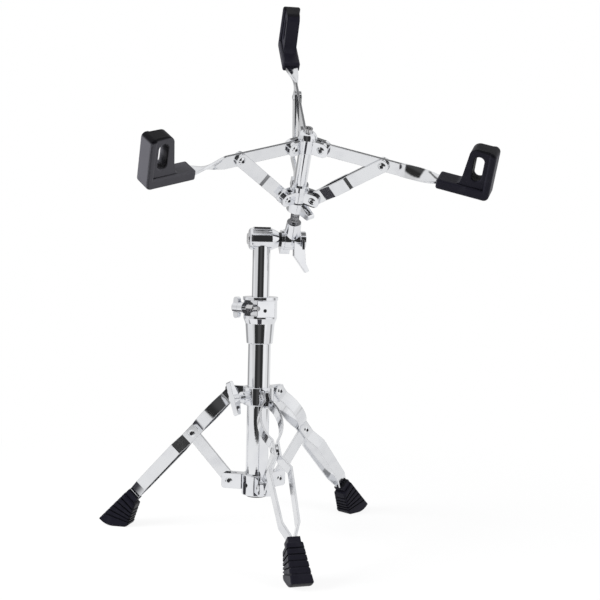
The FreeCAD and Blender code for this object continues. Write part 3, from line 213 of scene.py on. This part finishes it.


# flat plated strips: softer than the tubes, drawn grain along the strip, and dark lines along the edges as
# painted reflection
stripLook = {"tint": (0.81, 0.82, 0.84, 1.0), "dull": (0.72, 0.73, 0.76, 1.0), "dullShare": 0.5,
             "rough": 0.08, "grainRough": 0.08, "grainLeast": 0.5, "grainStretch": (22.0, 1500.0, 1500.0),
             "grain": {"scale": 1.0, "detail": 3.0, "strength": 0.3, "depth": 0.00002},
             "cloud": {"scale": 60.0, "detail": 4.0, "low": 0.42, "high": 0.72},
             "edge": 0.0008, "edgeShadeTint": (0.36, 0.36, 0.39, 1.0), "edgeShare": 0.8}


def stripFinish(name, along):
    finish, tree = newFinish(name)
    turn = along.rotation_difference(Vector((1.0, 0.0, 0.0))).to_euler()
    grain = noise(tree, objectPlace(tree, turn, stripLook["grainStretch"]), stripLook["grain"])
    cloud = patches(tree, objectPlace(tree), stripLook["cloud"])
    rounded, rim = edgeMask(tree, stripLook["edge"])
    rough = stripLook["rough"] + stripLook["grainRough"] * grain * (stripLook["grainLeast"] + cloud)
    shade = mixColour(tree, cloud * stripLook["dullShare"], stripLook["tint"], stripLook["dull"])
    # painted reflection: the edges are darkened as the edge faces would mirror dark
    shade = mixColour(tree, rim * stripLook["edgeShare"], shade, stripLook["edgeShadeTint"])
    plate(tree, shade, rough, relief(tree, grain, stripLook["grain"], rounded))
    return finish


# plain plated steel of the screws, polished rivets, the darker thread, and a dark steel laid into the
# hollows of screws and rivets as painted shade
screwLook = {"tint": (0.68, 0.68, 0.69, 1.0), "dark": (0.42, 0.42, 0.43, 1.0),
             "rough": 0.2, "speckRough": 0.16}
rivetLook = {"tint": (0.84, 0.85, 0.87, 1.0), "dark": (0.74, 0.75, 0.77, 1.0),
             "rough": 0.06, "speckRough": 0.08}
threadLook = {"tint": (0.2, 0.2, 0.21, 1.0), "dark": (0.07, 0.07, 0.075, 1.0),
              "rough": 0.22, "speckRough": 0.14}
recessShadeLook = {"tint": (0.07, 0.07, 0.075, 1.0), "dark": (0.03, 0.03, 0.033, 1.0),
              "rough": 0.4, "speckRough": 0.2}
steelGrain = {"speck": {"scale": 1400.0, "detail": 3.0, "low": 0.5, "high": 0.72,
                        "strength": 0.2, "depth": 0.00003},
              "stain": {"scale": 210.0, "detail": 4.0, "low": 0.5, "high": 0.75}}


def steelFinish(name, look):
    finish, tree = newFinish(name)
    place = objectPlace(tree)
    speck = patches(tree, place, steelGrain["speck"])
    stain = patches(tree, place, steelGrain["stain"])
    rough = look["rough"] + look["speckRough"] * speck
    shade = mixColour(tree, stain, look["tint"], look["dark"])
    plate(tree, shade, rough, relief(tree, speck, steelGrain["speck"]))
    return finish


# moulded rubber: the ribbed boots, two dark drum grips and the left one, which gets a paler, lit copy of the
# grip rubber as painted light
rubberLook = {"worn": (0.03, 0.03, 0.037, 1.0), "bloomRough": 0.14, "grainRough": 0.08,
              "grain": {"scale": 2400.0, "detail": 3.0, "strength": 0.35, "depth": 0.00006},
              "bloom": {"scale": 70.0, "detail": 5.0, "low": 0.45, "high": 0.75},
              "scuff": {"scale": 330.0, "detail": 4.0, "low": 0.52, "high": 0.7},
              "edgeRound": 0.0014, "edgeShare": 0.6, "scuffShare": 0.3, "shadedTop": (0.0045, 0.002),
              "recessShade": (0.25, 0.6), "recessShadeTint": (0.002, 0.002, 0.003, 1.0), "recessShadeSamples": 8}
# edge: on the boots a lighter colour laid along the edges, a painted highlight mixed with scuffing
bootLook = {"base": (0.006, 0.0057, 0.0105, 1.0), "edge": (0.026, 0.026, 0.032, 1.0),
            "rough": 0.36, "shine": 0.12, "dust": 0.2, "recessShadeReach": 0.004}
# edge: on the grips a darker colour laid along the edges as painted shade
gripLook = {"base": (0.0125, 0.012, 0.0185, 1.0), "edge": (0.004, 0.004, 0.006, 1.0),
            "rough": 0.36, "shine": 0.13, "dust": 0.3, "recessShadeReach": 0.014}
litGripLook = {"base": (0.066, 0.065, 0.074, 1.0), "edge": (0.002, 0.002, 0.003, 1.0),
            "rough": 0.4, "shine": 0.12, "dust": 0.0, "recessShadeReach": 0.014}


def rubberFinish(name, look, shadedTop=None):
    finish, tree = newFinish(name)
    place = objectPlace(tree)
    rounded, rim = edgeMask(tree, rubberLook["edgeRound"])
    grain = noise(tree, place, rubberLook["grain"])
    bloom = patches(tree, place, rubberLook["bloom"])
    scuff = patches(tree, place, rubberLook["scuff"])
    rough = look["rough"] + rubberLook["bloomRough"] * bloom + rubberLook["grainRough"] * grain
    bump = relief(tree, grain, rubberLook["grain"], rounded)
    shade = mixColour(tree, bloom * look["dust"], look["base"], rubberLook["worn"])
    # painted light and shade along the edges: the edge colour, lighter on the boots and darker on the grips,
    # with scuffing
    paintedEdgeAndScuff = rim * (rubberLook["edgeShare"] + rubberLook["scuffShare"] * scuff)
    shade = mixColour(tree, paintedEdgeAndScuff, shade, look["edge"])
    if shadedTop:
        # painted shade: the upper end is blended to the dark edge colour
        upward, top = shadedTop
        height = tree.measure("DOT_PRODUCT", place, upward)
        start, full = (top - drop for drop in rubberLook["shadedTop"])
        shade = mixColour(tree, smooth(height, start, full), shade, look["edge"])
    surface = tree.add("ShaderNodeBsdfPrincipled", None, {
        "Base Color": shade, "Roughness": rough, "Specular IOR Level": look["shine"], "Normal": bump})
    # painted shade: the bottoms of grooves and windows, found by an occlusion mask, are blended to a
    # near-black matte
    rays = {"samples": rubberLook["recessShadeSamples"], "only_local": True}
    clear = tree.add("ShaderNodeAmbientOcclusion", rays, {"Distance": look["recessShadeReach"]}, "AO")
    deep = tree.add("ShaderNodeBsdfDiffuse", None, {"Color": rubberLook["recessShadeTint"]})
    recessShade = smooth(1.0 - clear, *rubberLook["recessShade"])
    surface = tree.add("ShaderNodeMixShader", None, {0: recessShade, 1: surface, 2: deep})
    tree.add("ShaderNodeOutputMaterial", None, {"Surface": surface})
    return finish


# black nylon of the bush, plug, guide ring and washer
nylonLook = {"black": (0.022, 0.022, 0.024, 1.0), "pale": (0.05, 0.05, 0.053, 1.0),
             "rough": 0.38, "grainRough": 0.16, "edge": 0.0004, "cloudShare": 0.6, "edgeShare": 0.3,
             "cloud": {"scale": 160.0, "detail": 4.0},
             "grain": {"scale": 1700.0, "detail": 2.0, "strength": 0.2, "depth": 0.00004}}


def nylonFinish(name):
    finish, tree = newFinish(name)
    place = objectPlace(tree)
    cloud = noise(tree, place, nylonLook["cloud"])
    grain = noise(tree, place, nylonLook["grain"])
    rounded, rim = edgeMask(tree, nylonLook["edge"])
    share = cloud * nylonLook["cloudShare"] + rim * nylonLook["edgeShare"]
    shade = mixColour(tree, share, nylonLook["black"], nylonLook["pale"])
    surface = tree.add("ShaderNodeBsdfPrincipled", None, {
        "Base Color": shade, "Roughness": nylonLook["rough"] + nylonLook["grainRough"] * grain,
        "Normal": relief(tree, grain, nylonLook["grain"], rounded)})
    tree.add("ShaderNodeOutputMaterial", None, {"Surface": surface})
    return finish


def dress(names, finish):
    for name in names:
        for slot in nodes[name].material_slots:
            slot.material = finish


micronsPerMetre = 1e6


def islands(name):
    # the separate solids of a node, each as its points
    mesh = nodes[name].data
    parent = {}

    def root(key):
        while parent[key] != key:
            parent[key] = parent[parent[key]]
            key = parent[key]
        return key

    keys = [tuple(round(value * micronsPerMetre) for value in vertex.co) for vertex in mesh.vertices]
    for key in keys:
        parent.setdefault(key, key)
    for face in mesh.polygons:
        first = root(keys[face.vertices[0]])
        for index in face.vertices[1:]:
            parent[root(keys[index])] = first
    groups = {}
    for key, vertex in zip(keys, mesh.vertices):
        groups.setdefault(root(key), []).append(vertex.co.copy())
    return list(groups.values())


def middle(points):
    low = Vector(min(point[axis] for point in points) for axis in range(3))
    high = Vector(max(point[axis] for point in points) for axis in range(3))
    return (low + high) / 2


def pivot(jointName):
    return Vector(joints[jointName]["pos_m"]), Vector(joints[jointName]["axis"]).normalized()


def newTree(name, inputs):
    tree = bpy.data.node_groups.new(name, "GeometryNodeTree")
    tree.interface.new_socket("Geometry", in_out="INPUT", socket_type="NodeSocketGeometry")
    for label, kind in inputs:
        tree.interface.new_socket(label, in_out="INPUT", socket_type=kind)
    tree.interface.new_socket("Geometry", in_out="OUTPUT", socket_type="NodeSocketGeometry")
    entry = tree.nodes.new("NodeGroupInput")
    return Wire(tree), {socket.name: Wire(tree, socket) for socket in entry.outputs if socket.name}


def joinParts(tree, parts):
    joined = tree.add("GeometryNodeJoinGeometry")
    for part in parts:
        tree.tree.links.new(part.socket, joined.socket.node.inputs[0])
    return joined


sharpDegrees = 40


def runTree(name, mesh, tree, values):
    piece = bpy.data.objects.new(name, mesh)
    scene.collection.objects.link(piece)
    modifier = piece.modifiers.new("shape", "NODES")
    modifier.node_group = tree
    for socket in tree.interface.items_tree:
        if socket.in_out == "INPUT" and socket.name in values:
            modifier[socket.identifier] = values[socket.name]
    graph = bpy.context.evaluated_depsgraph_get()
    made = bpy.data.meshes.new_from_object(piece.evaluated_get(graph))
    piece.modifiers.remove(modifier)
    piece.data = made
    made.name = name
    for face in made.polygons:
        face.use_smooth = True
    made.set_sharp_from_angle(angle=math.radians(sharpDegrees))
    return piece


# rivets: a low dome with a small dimple on a short shank, set on each pivot; the dimple's floor wears the
# dark steel as painted shade
rivetSizes = {"headDiameter": 0.0096, "headHeight": 0.0019, "dimpleDiameter": 0.0046, "dimpleDepth": 0.0012,
              "shankDiameter": 0.006, "shankDepth": 0.0024, "around": 36, "rings": 20}
dimpleShares = {"floor": 0.34, "dark": 0.44, "mouth": 0.5}      # radii, as shares of the dimple's diameter
weldGap = 1e-6
twoHeadsFrom = 0.007        # a longer solid is a whole rivet, a shorter one is a single head


def rivetTree():
    sizes = ("Head Diameter", "Head Height", "Dimple Diameter", "Dimple Depth",
             "Shank Diameter", "Shank Depth")
    tree, given = newTree("rivetHeads", [(label, "NodeSocketFloat") for label in sizes] + [
        ("Around", "NodeSocketInt"), ("Rings", "NodeSocketInt"),
        ("Finish", "NodeSocketMaterial"), ("Recess Shade", "NodeSocketMaterial")])
    # the dome is a grid wrapped round the axis
    sheet = tree.add("GeometryNodeMeshGrid", None, {
        "Size X": 1.0, "Size Y": 1.0,
        "Vertices X": given["Rings"], "Vertices Y": given["Around"] + 1.0}, "Mesh")
    spot = tree.add("GeometryNodeInputPosition")
    across = spot.part("X") + 0.5
    turn = (spot.part("Y") + 0.5) * math.tau
    radius = across * given["Head Diameter"] * 0.5
    rim = given["Head Diameter"] * 0.5
    ball = (rim * rim + given["Head Height"] * given["Head Height"]) / (given["Head Height"] * 2.0)
    dome = (ball * ball - radius * radius) ** 0.5 - (ball - given["Head Height"])
    dimple = 1.0 - smooth(radius, given["Dimple Diameter"] * dimpleShares["floor"],
                          given["Dimple Diameter"] * dimpleShares["mouth"])
    place = tree.add("ShaderNodeCombineXYZ", None, {
        "X": radius * turn.maths("COSINE", turn, 0.0), "Y": radius * turn.maths("SINE", turn, 0.0),
        "Z": dome - dimple * given["Dimple Depth"]})
    # painted shade: the dimple's floor is marked for the dark steel
    dimpleShade = radius.maths("LESS_THAN", radius, given["Dimple Diameter"] * dimpleShares["dark"])
    sheet = tree.add("GeometryNodeStoreNamedAttribute", {"data_type": "FLOAT", "domain": "FACE"}, {
        "Geometry": sheet, "Name": "recessShade", "Value": dimpleShade})
    cap = tree.add("GeometryNodeSetPosition", None, {"Geometry": sheet, "Position": place})
    under = tree.add("GeometryNodeMeshCircle", {"fill_type": "NGON"}, {
        "Vertices": given["Around"], "Radius": rim})
    under = tree.add("GeometryNodeFlipFaces", None, {"Mesh": under})
    head = tree.add("GeometryNodeMergeByDistance", None, {
        "Geometry": joinParts(tree, [cap, under]), "Distance": weldGap})
    shank = tree.add("GeometryNodeMeshCylinder", None, {
        "Vertices": given["Around"], "Radius": given["Shank Diameter"] * 0.5, "Depth": given["Shank Depth"]})
    drop = tree.add("ShaderNodeCombineXYZ", None, {"Z": given["Shank Depth"] * -0.5})
    shank = tree.add("GeometryNodeTransform", None, {"Geometry": shank, "Translation": drop})
    axis = tree.add("GeometryNodeInputNamedAttribute", {"data_type": "FLOAT_VECTOR"}, {"Name": "axis"})
    facing = tree.add("FunctionNodeAlignRotationToVector", {"axis": "Z"}, {"Vector": axis})
    spread = tree.add("GeometryNodeInstanceOnPoints", None, {
        "Points": given["Geometry"], "Instance": joinParts(tree, [head, shank]), "Rotation": facing})
    solid = tree.add("GeometryNodeRealizeInstances", None, {"Geometry": spread})
    solid = tree.add("GeometryNodeSetMaterial", None, {"Geometry": solid, "Material": given["Finish"]})
    recessShade = tree.add("GeometryNodeInputNamedAttribute", {"data_type": "FLOAT"}, {"Name": "recessShade"})
    solid = tree.add("GeometryNodeSetMaterial", None, {
        "Geometry": solid, "Selection": recessShade.maths("GREATER_THAN", recessShade, 0.5),
        "Material": given["Recess Shade"]})
    tree.add("NodeGroupOutput", None, {0: solid})
    return tree.tree


def headSpots(name, axis, plane):
    # one spot for each rivet head, on the face that it sits on
    spots = []
    for points in islands(name):
        centre = middle(points)
        reach = [(point - centre).dot(axis) for point in points]
        long = max(reach) - min(reach)
        if long > twoHeadsFrom:
            ends = (1, -1)
        else:
            ends = (1,) if (centre - plane).dot(axis) > 0 else (-1,)
        for side in ends:
            spots.append((centre + axis * side * (long / 2 - rivetSizes["headHeight"]), axis * side))
    return spots


def ringSpots(name, jointNames):
    # the rivets of a hub: each island belongs to the pivot that it lies nearest
    spots = []
    pivots = [pivot(jointName) for jointName in jointNames]
    for points in islands(name):
        centre = middle(points)
        axis = min(pivots, key=lambda found: (found[0] - centre).length)[1]
        half = max((point - centre).dot(axis) for point in points) - rivetSizes["headHeight"]
        spots += [(centre + axis * half, axis), (centre - axis * half, -axis)]
    return spots


rivetShine = steelFinish("rivetSteel", rivetLook)
rivetRecessShade = steelFinish("rivetRecessShade", recessShadeLook)
rivetNodes = rivetTree()


def setRivets(name, body, spots):
    mesh = bpy.data.meshes.new(name + "Spots")
    mesh.from_pydata([spot for spot, axis in spots], [], [])
    mesh.attributes.new("axis", "FLOAT_VECTOR", "POINT").data.foreach_set(
        "vector", [value for spot, axis in spots for value in axis])
    heads = runTree(name, mesh, rivetNodes, {
        "Head Diameter": rivetSizes["headDiameter"], "Head Height": rivetSizes["headHeight"],
        "Dimple Diameter": rivetSizes["dimpleDiameter"], "Dimple Depth": rivetSizes["dimpleDepth"],
        "Shank Diameter": rivetSizes["shankDiameter"], "Shank Depth": rivetSizes["shankDepth"],
        "Around": rivetSizes["around"], "Rings": rivetSizes["rings"],
        "Finish": rivetShine, "Recess Shade": rivetRecessShade})
    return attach(heads, body)


legSides = ("front", "right", "left")
armSides = ("back", "left", "right")
hubRivets = (("rivetsLower", "base", "lower_rivets", [f"brace_{side}_fold" for side in legSides]),
             ("rivetsHub", "basket", "hub_rivets", [f"arm_{side}_swing" for side in armSides]),
             ("rivetsSlider", "slider", "slider_rivets", [f"stay_{side}_swing" for side in armSides]))
for side in legSides:
    knee, axis = pivot(f"leg_{side}_fold")
    spots = headSpots(f"leg_rivets_{side}", axis, knee)
    heads = setRivets(f"rivetsLeg_{side}", f"leg_unit_{side}", spots)
    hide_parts(f"leg_rivets_{side}")
for side in armSides:
    slide, axis = pivot(f"stay_{side}_swing")
    spots = headSpots(f"stay_rivets_{side}", axis, slide)
    heads = setRivets(f"rivetsStay_{side}", f"stay_unit_{side}", spots)
    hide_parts(f"stay_rivets_{side}")
for name, body, node, jointNames in hubRivets:
    heads = setRivets(name, body, ringSpots(node, jointNames))
    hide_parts(node)
print("rivets: set on", len(legSides) + len(armSides) + len(hubRivets), "nodes")


# thread on the lower rod of the basket post
threadSizes = {"diameter": 0.01, "ridge": 0.00052, "pitch": 0.0015, "from": 0.0284, "to": 0.0458,
               "around": 40, "ridgeSides": 6}


def threadTree():
    sizes = ("Diameter", "Ridge", "Pitch", "Length", "Lean")
    tree, given = newTree("rodThread", [(label, "NodeSocketFloat") for label in sizes] + [
        ("Around", "NodeSocketInt"), ("Ridge Sides", "NodeSocketInt"), ("Start", "NodeSocketVector"),
        ("Finish", "NodeSocketMaterial")])
    spiral = tree.add("GeometryNodeCurveSpiral", None, {
        "Resolution": given["Around"], "Rotations": given["Length"] / given["Pitch"],
        "Start Radius": given["Diameter"] * 0.5, "End Radius": given["Diameter"] * 0.5,
        "Height": given["Length"]})
    ridge = tree.add("GeometryNodeCurvePrimitiveCircle", None, {
        "Resolution": given["Ridge Sides"], "Radius": given["Ridge"]})
    coil = tree.add("GeometryNodeCurveToMesh", None, {
        "Curve": spiral, "Profile Curve": ridge, "Fill Caps": True})
    lean = tree.add("ShaderNodeCombineXYZ", None, {"X": given["Lean"]})
    coil = tree.add("GeometryNodeTransform", None, {
        "Geometry": coil, "Translation": given["Start"], "Rotation": lean})
    coil = tree.add("GeometryNodeRealizeInstances", None, {"Geometry": coil})
    coil = tree.add("GeometryNodeSetMaterial", None, {"Geometry": coil, "Material": given["Finish"]})
    tree.add("NodeGroupOutput", None, {0: coil})
    return tree.tree


postAxis = Vector(joints["slider_slide"]["axis"]).normalized()
postLean = math.atan2(-postAxis.y, postAxis.z)
postFoot = Vector(joints["tilt"]["pos_m"])
postFoot.x = sum(corner.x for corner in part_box("basket_post")) / 2
thread = runTree("rodThread", bpy.data.meshes.new("rodThread"), threadTree(), {
    "Diameter": threadSizes["diameter"], "Ridge": threadSizes["ridge"], "Pitch": threadSizes["pitch"],
    "Length": threadSizes["to"] - threadSizes["from"], "Lean": postLean,
    "Around": threadSizes["around"], "Ridge Sides": threadSizes["ridgeSides"],
    "Start": postFoot + postAxis * threadSizes["from"], "Finish": steelFinish("rodSteel", threadLook)})
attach(thread, "basket")
print("thread:", len(thread.data.polygons), "faces")


# hinge pin in the flat of the height clamp, just below the face; its dark steel is painted shade
pinSizes = {"radius": 0.00205, "long": 0.0008, "around": 28,
            "heading": 282.0, "reach": 0.0158, "height": 0.2898}


def pinMesh(start, axis):
    side = axis.orthogonal().normalized()
    up = axis.cross(side)
    count = pinSizes["around"]
    turns = [math.tau * step / count for step in range(count)]
    ring = [start + (side * math.cos(turn) + up * math.sin(turn)) * pinSizes["radius"] for turn in turns]
    points = ring + [point + axis * pinSizes["long"] for point in ring]
    faces = [tuple(reversed(range(count))), tuple(range(count, 2 * count))]
    for index in range(count):
        following = (index + 1) % count
        faces.append((index, following, count + following, count + index))
    mesh = bpy.data.meshes.new("hingePin")
    mesh.from_pydata(points, [], faces)
    return mesh


swivel = Vector(joints["column_swivel"]["pos_m"])
pinHeading = math.radians(pinSizes["heading"])
pinAxis = Vector((math.cos(pinHeading), math.sin(pinHeading), 0.0))
pinStart = Vector((swivel.x, swivel.y, pinSizes["height"])) + pinAxis * pinSizes["reach"]
pin = bpy.data.objects.new("hingePin", pinMesh(pinStart, pinAxis))
scene.collection.objects.link(pin)
pin.data.materials.append(rivetRecessShade)
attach(pin, "base")
print("pin:", len(pin.data.polygons), "faces")


# finishes of the CAD nodes
castings = ["lower_collar", "leg_collar", "collar_wing", "height_clamp", "clamp_wing", "tilter_barrel",
            "tilter_head", "tilter_wing", "upper_hub", "slider_hub", "basket_knob"]
kneeClear = 0.02        # the upper rivet of a leg is more than this above its knee
dress(["base_tube", "upper_tube"], tubeFinish("tubeChrome"))
dress(["basket_post"], tubeFinish("postChrome", (-postLean, 0.0, 0.0)))
dress(castings, castFinish("castChrome"))
dress(["clamp_bolt", "tilter_bolt", "hub_screw"], steelFinish("screwSteel", screwLook))
# painted shade: the set screw in its hole wears the dark steel
dress(["lower_collar_screw"], steelFinish("setScrewRecessShade", recessShadeLook))
dress(["tube_plug", "height_bush", "tube_guide", "tilter_washer"], nylonFinish("blackNylon"))
dress([f"foot_{side}" for side in legSides], rubberFinish("footRubber", bootLook))
# painted light: the left pad gets the paler, lit copy of the grip rubber
for side, look in (("back", gripLook), ("right", gripLook), ("left", litGripLook)):
    padTop = max(vertex.co.dot(postAxis) for vertex in nodes[f"pad_{side}"].data.vertices)
    dress([f"pad_{side}"], rubberFinish(f"gripRubber_{side}", look, (postAxis, padTop)))
for side in legSides:
    knee, axis = pivot(f"leg_{side}_fold")
    ring = pivot(f"brace_{side}_fold")[0]
    spots = [spot for spot, way in headSpots(f"leg_rivets_{side}", axis, knee)]
    top = sum((spot for spot in spots if spot.z > knee.z + kneeClear), Vector()) / 2
    dress([f"brace_{side}"], stripFinish(f"braceStrip_{side}", knee - ring))
    dress([f"leg_{side}"], stripFinish(f"legStrip_{side}", knee - top))
for side in armSides:
    hub = pivot(f"arm_{side}_swing")[0]
    slide, axis = pivot(f"stay_{side}_swing")
    spots = [spot for spot, way in headSpots(f"stay_rivets_{side}", axis, slide)]
    meeting = sum(spots, Vector()) / 2
    dress([f"arm_{side}"], stripFinish(f"armStrip_{side}", meeting - hub))
    dress([f"stay_{side}"], stripFinish(f"stayStrip_{side}", meeting - slide))
print("finishes:", len(bpy.data.materials), "materials")


# directions in the studio: towards the camera's side, and to the right of the stand
cameraSide = (-0.178, -0.984, 0.0)


def bearing(east, north):
    return (east * cameraSide[0] + north * cameraSide[1],
            north * cameraSide[0] - east * cameraSide[1])


# grey panels on the right and, further back, on the left, which draw thin lines along the tubes
panels = {"right": (-0.55, -0.42, -0.2, -0.08), "left": (-0.95, -0.85, -0.5, -0.3), "shade": 0.55,
          "side": (0.2, 0.4), "from": (0.8, 1.0)}


def panelShade(facing, aside):
    low, on, off, high = panels["right"]
    right = smooth(facing, low, on) * (1.0 - smooth(facing, off, high)) * smooth(aside, *panels["side"])
    low, on, off, high = panels["left"]
    left = smooth(facing, low, on) * (1.0 - smooth(facing, off, high)) * smooth(0.0 - aside, *panels["side"])
    return panels["shade"] * (right + left)


# white paper floor: its own glow keeps it pale, and its matte share near the stand takes the shadow;
# the plating mirrors dark cards on it, and the room past its front edge
floorLook = {"half": 30.0, "white": (0.96, 0.96, 0.965, 1.0), "matte": 0.12, "fade": (0.15, 0.8),
             "mirrored": 0.86, "frontEdge": (0.58, 0.64),
             "cards": ((0.354, -0.695), (-0.312, 0.162), (-0.08, -0.27)), "cardEdge": (0.1, 0.12),
             "cardTint": (0.05, 0.048, 0.056, 1.0)}
half = floorLook["half"]
floorMesh = bpy.data.meshes.new("studioFloor")
floorMesh.from_pydata([(-half, -half, 0), (half, -half, 0), (half, half, 0), (-half, half, 0)], [],
                      [(0, 1, 2, 3)])
floor = bpy.data.objects.new("studioFloor", floorMesh)
scene.collection.objects.link(floor)
floorPaint, tree = newFinish("floorPaper")
spot = tree.add("ShaderNodeTexCoord", None, None, "Object")
reach = tree.measure("LENGTH", spot)
seen = tree.add("ShaderNodeLightPath", None, None, "Is Camera Ray")
mirrored = tree.add("ShaderNodeLightPath", None, None, "Is Glossy Ray")
facing, aside = bearing(spot.part("X") / reach, spot.part("Y") / reach)
lit = floorLook["mirrored"] * (1.0 - panelShade(facing, aside) * smooth(reach, *panels["from"]))
unlit = tree.add("ShaderNodeEmission", None, {"Color": (0.0, 0.0, 0.0, 1.0), "Strength": 0.0})
glow = tree.add("ShaderNodeEmission", None, {"Color": (1.0, 1.0, 1.0, 1.0), "Strength": 1.0})
glow = tree.add("ShaderNodeMixShader", None, {0: seen + lit * mirrored, 1: unlit, 2: glow})
matte = tree.add("ShaderNodeBsdfDiffuse", None, {"Color": floorLook["white"]})
share = floorLook["matte"] * (1.0 - smooth(reach, *floorLook["fade"]))
paper = tree.add("ShaderNodeMixShader", None, {0: share, 1: glow, 2: matte})
dim = tree.add("ShaderNodeEmission", None, {"Color": floorLook["cardTint"], "Strength": 1.0})
for cardEast, cardNorth in floorLook["cards"]:
    away = tree.measure("DISTANCE", spot, (cardEast, cardNorth, 0.0))
    card = (1.0 - smooth(away, *floorLook["cardEdge"])) * mirrored
    paper = tree.add("ShaderNodeMixShader", None, {0: card, 1: paper, 2: dim})
beyond = mirrored * smooth(tree.measure("DOT_PRODUCT", spot, cameraSide), *floorLook["frontEdge"])
clear = tree.add("ShaderNodeBsdfTransparent")
paper = tree.add("ShaderNodeMixShader", None, {0: beyond, 1: paper, 2: clear})
tree.add("ShaderNodeOutputMaterial", None, {"Surface": paper})
floorMesh.materials.append(floorPaint)

# studio: white all round for the camera; the plating mirrors a dark stretch of room behind the camera,
# a dark beam overhead along the arms' upper edges, and lighter and darker sides
studio = {"leftLight": 0.72, "rightLight": 0.97, "sideBlend": (-0.7, 0.7),
          "backLight": 0.62, "backEdge": (0.55, 0.95), "above": 0.88, "aboveEdge": (0.3, 0.75),
          "beam": 0.18, "beamStart": (0.11, 0.15), "beamEnd": (0.24, 0.27), "beamHigh": (0.8, 0.86),
          "below": 0.75, "belowEdge": (0.3, 0.55),
          "flag": 0.03, "flagEdge": (0.70, 0.80), "flagHigh": (0.6, 0.72),
          "sheen": 0.04, "sheenEdge": (0.95, 0.999), "matteShare": 0.6, "leastFlat": 1e-6}
world = bpy.data.worlds.new("studio")
scene.world = world
world.use_nodes = True
world.node_tree.nodes.clear()
tree = Wire(world.node_tree)
way = tree.add("ShaderNodeTexCoord", None, None, "Generated")
east, north, lift = way.part("X"), way.part("Y"), way.part("Z")
flat = (east * east + north * north + studio["leastFlat"]) ** 0.5
facing, aside = (share / flat for share in bearing(east, north))
sideBlend = smooth(aside, *studio["sideBlend"])
sides = studio["leftLight"] + (studio["rightLight"] - studio["leftLight"]) * sideBlend
sides = sides + (studio["backLight"] - sides) * smooth(0.0 - facing, *studio["backEdge"])
sides = sides * (1.0 - panelShade(facing, aside))
level = sides + (studio["above"] - sides) * smooth(lift, *studio["aboveEdge"])
beam = smooth(east, *studio["beamStart"]) * (1.0 - smooth(east, *studio["beamEnd"]))
beam = beam * smooth(lift, *studio["beamHigh"])
level = level + (studio["beam"] - level) * beam
level = level + (studio["below"] - level) * smooth(0.0 - lift, *studio["belowEdge"])
dark = smooth(facing, *studio["flagEdge"]) * (1.0 - smooth(lift, *studio["flagHigh"]))
flag = studio["flag"] + studio["sheen"] * smooth(facing, *studio["sheenEdge"])
level = level + (flag - level) * dark
seen = tree.add("ShaderNodeLightPath", None, None, "Is Camera Ray")
mirrored = tree.add("ShaderNodeLightPath", None, None, "Is Glossy Ray")
level = level * (studio["matteShare"] + (1.0 - studio["matteShare"]) * mirrored)
level = level + (1.0 - level) * seen
tint = tree.add("ShaderNodeCombineColor", None, {0: level, 1: level, 2: level})
backdrop = tree.add("ShaderNodeBackground", None, {"Color": tint, "Strength": 1.0})
tree.add("ShaderNodeOutputWorld", None, {"Surface": backdrop})

# soft boxes: one in front on the right, and one on the left, level with the basket
lamps = {"keyBox": {"place": (1.6, -1.3, 0.55), "size": 1.0, "power": 42.0},
         "fillBox": {"place": (-1.6, -0.2, 0.6), "size": 1.2, "power": 56.0}}
aim = Vector((0.0, 0.0, 0.35))
for name, given in lamps.items():
    lamp = bpy.data.lights.new(name, "AREA")
    lamp.shape = "DISK"
    lamp.size = given["size"]
    lamp.energy = given["power"]
    box = bpy.data.objects.new(name, lamp)
    box.location = given["place"]
    box.rotation_euler = (aim - Vector(given["place"])).to_track_quat("-Z", "Y").to_euler()
    box.visible_glossy = False      # the plating mirrors the room alone
    scene.collection.objects.link(box)

# camera, solved from the stand's own straight lines
shot = {"place": (-0.1939, -1.2105, 0.3681), "heading": (0.1783, 0.9840), "pitch": 2.92, "roll": 1.35,
        "lens": 60.24, "sensor": 36.0}
ahead = Vector((*shot["heading"], 0.0)).normalized()
right = Vector((ahead.y, -ahead.x, 0.0))
upward = Vector((0.0, 0.0, 1.0))
pitch, roll = math.radians(shot["pitch"]), math.radians(shot["roll"])
sight = ahead * math.cos(pitch) - upward * math.sin(pitch)
over = ahead * math.sin(pitch) + upward * math.cos(pitch)
lens = bpy.data.cameras.new("shot")
lens.lens = shot["lens"]
lens.sensor_width = shot["sensor"]
camera = bpy.data.objects.new("shot", lens)
scene.collection.objects.link(camera)
camera.matrix_world = Matrix.Translation(shot["place"]) @ Matrix((
    right * math.cos(roll) + over * math.sin(roll), over * math.cos(roll) - right * math.sin(roll), -sight)
).transposed().to_4x4()
scene.camera = camera
print("studio: floor, world,", len(lamps), "soft boxes, camera")
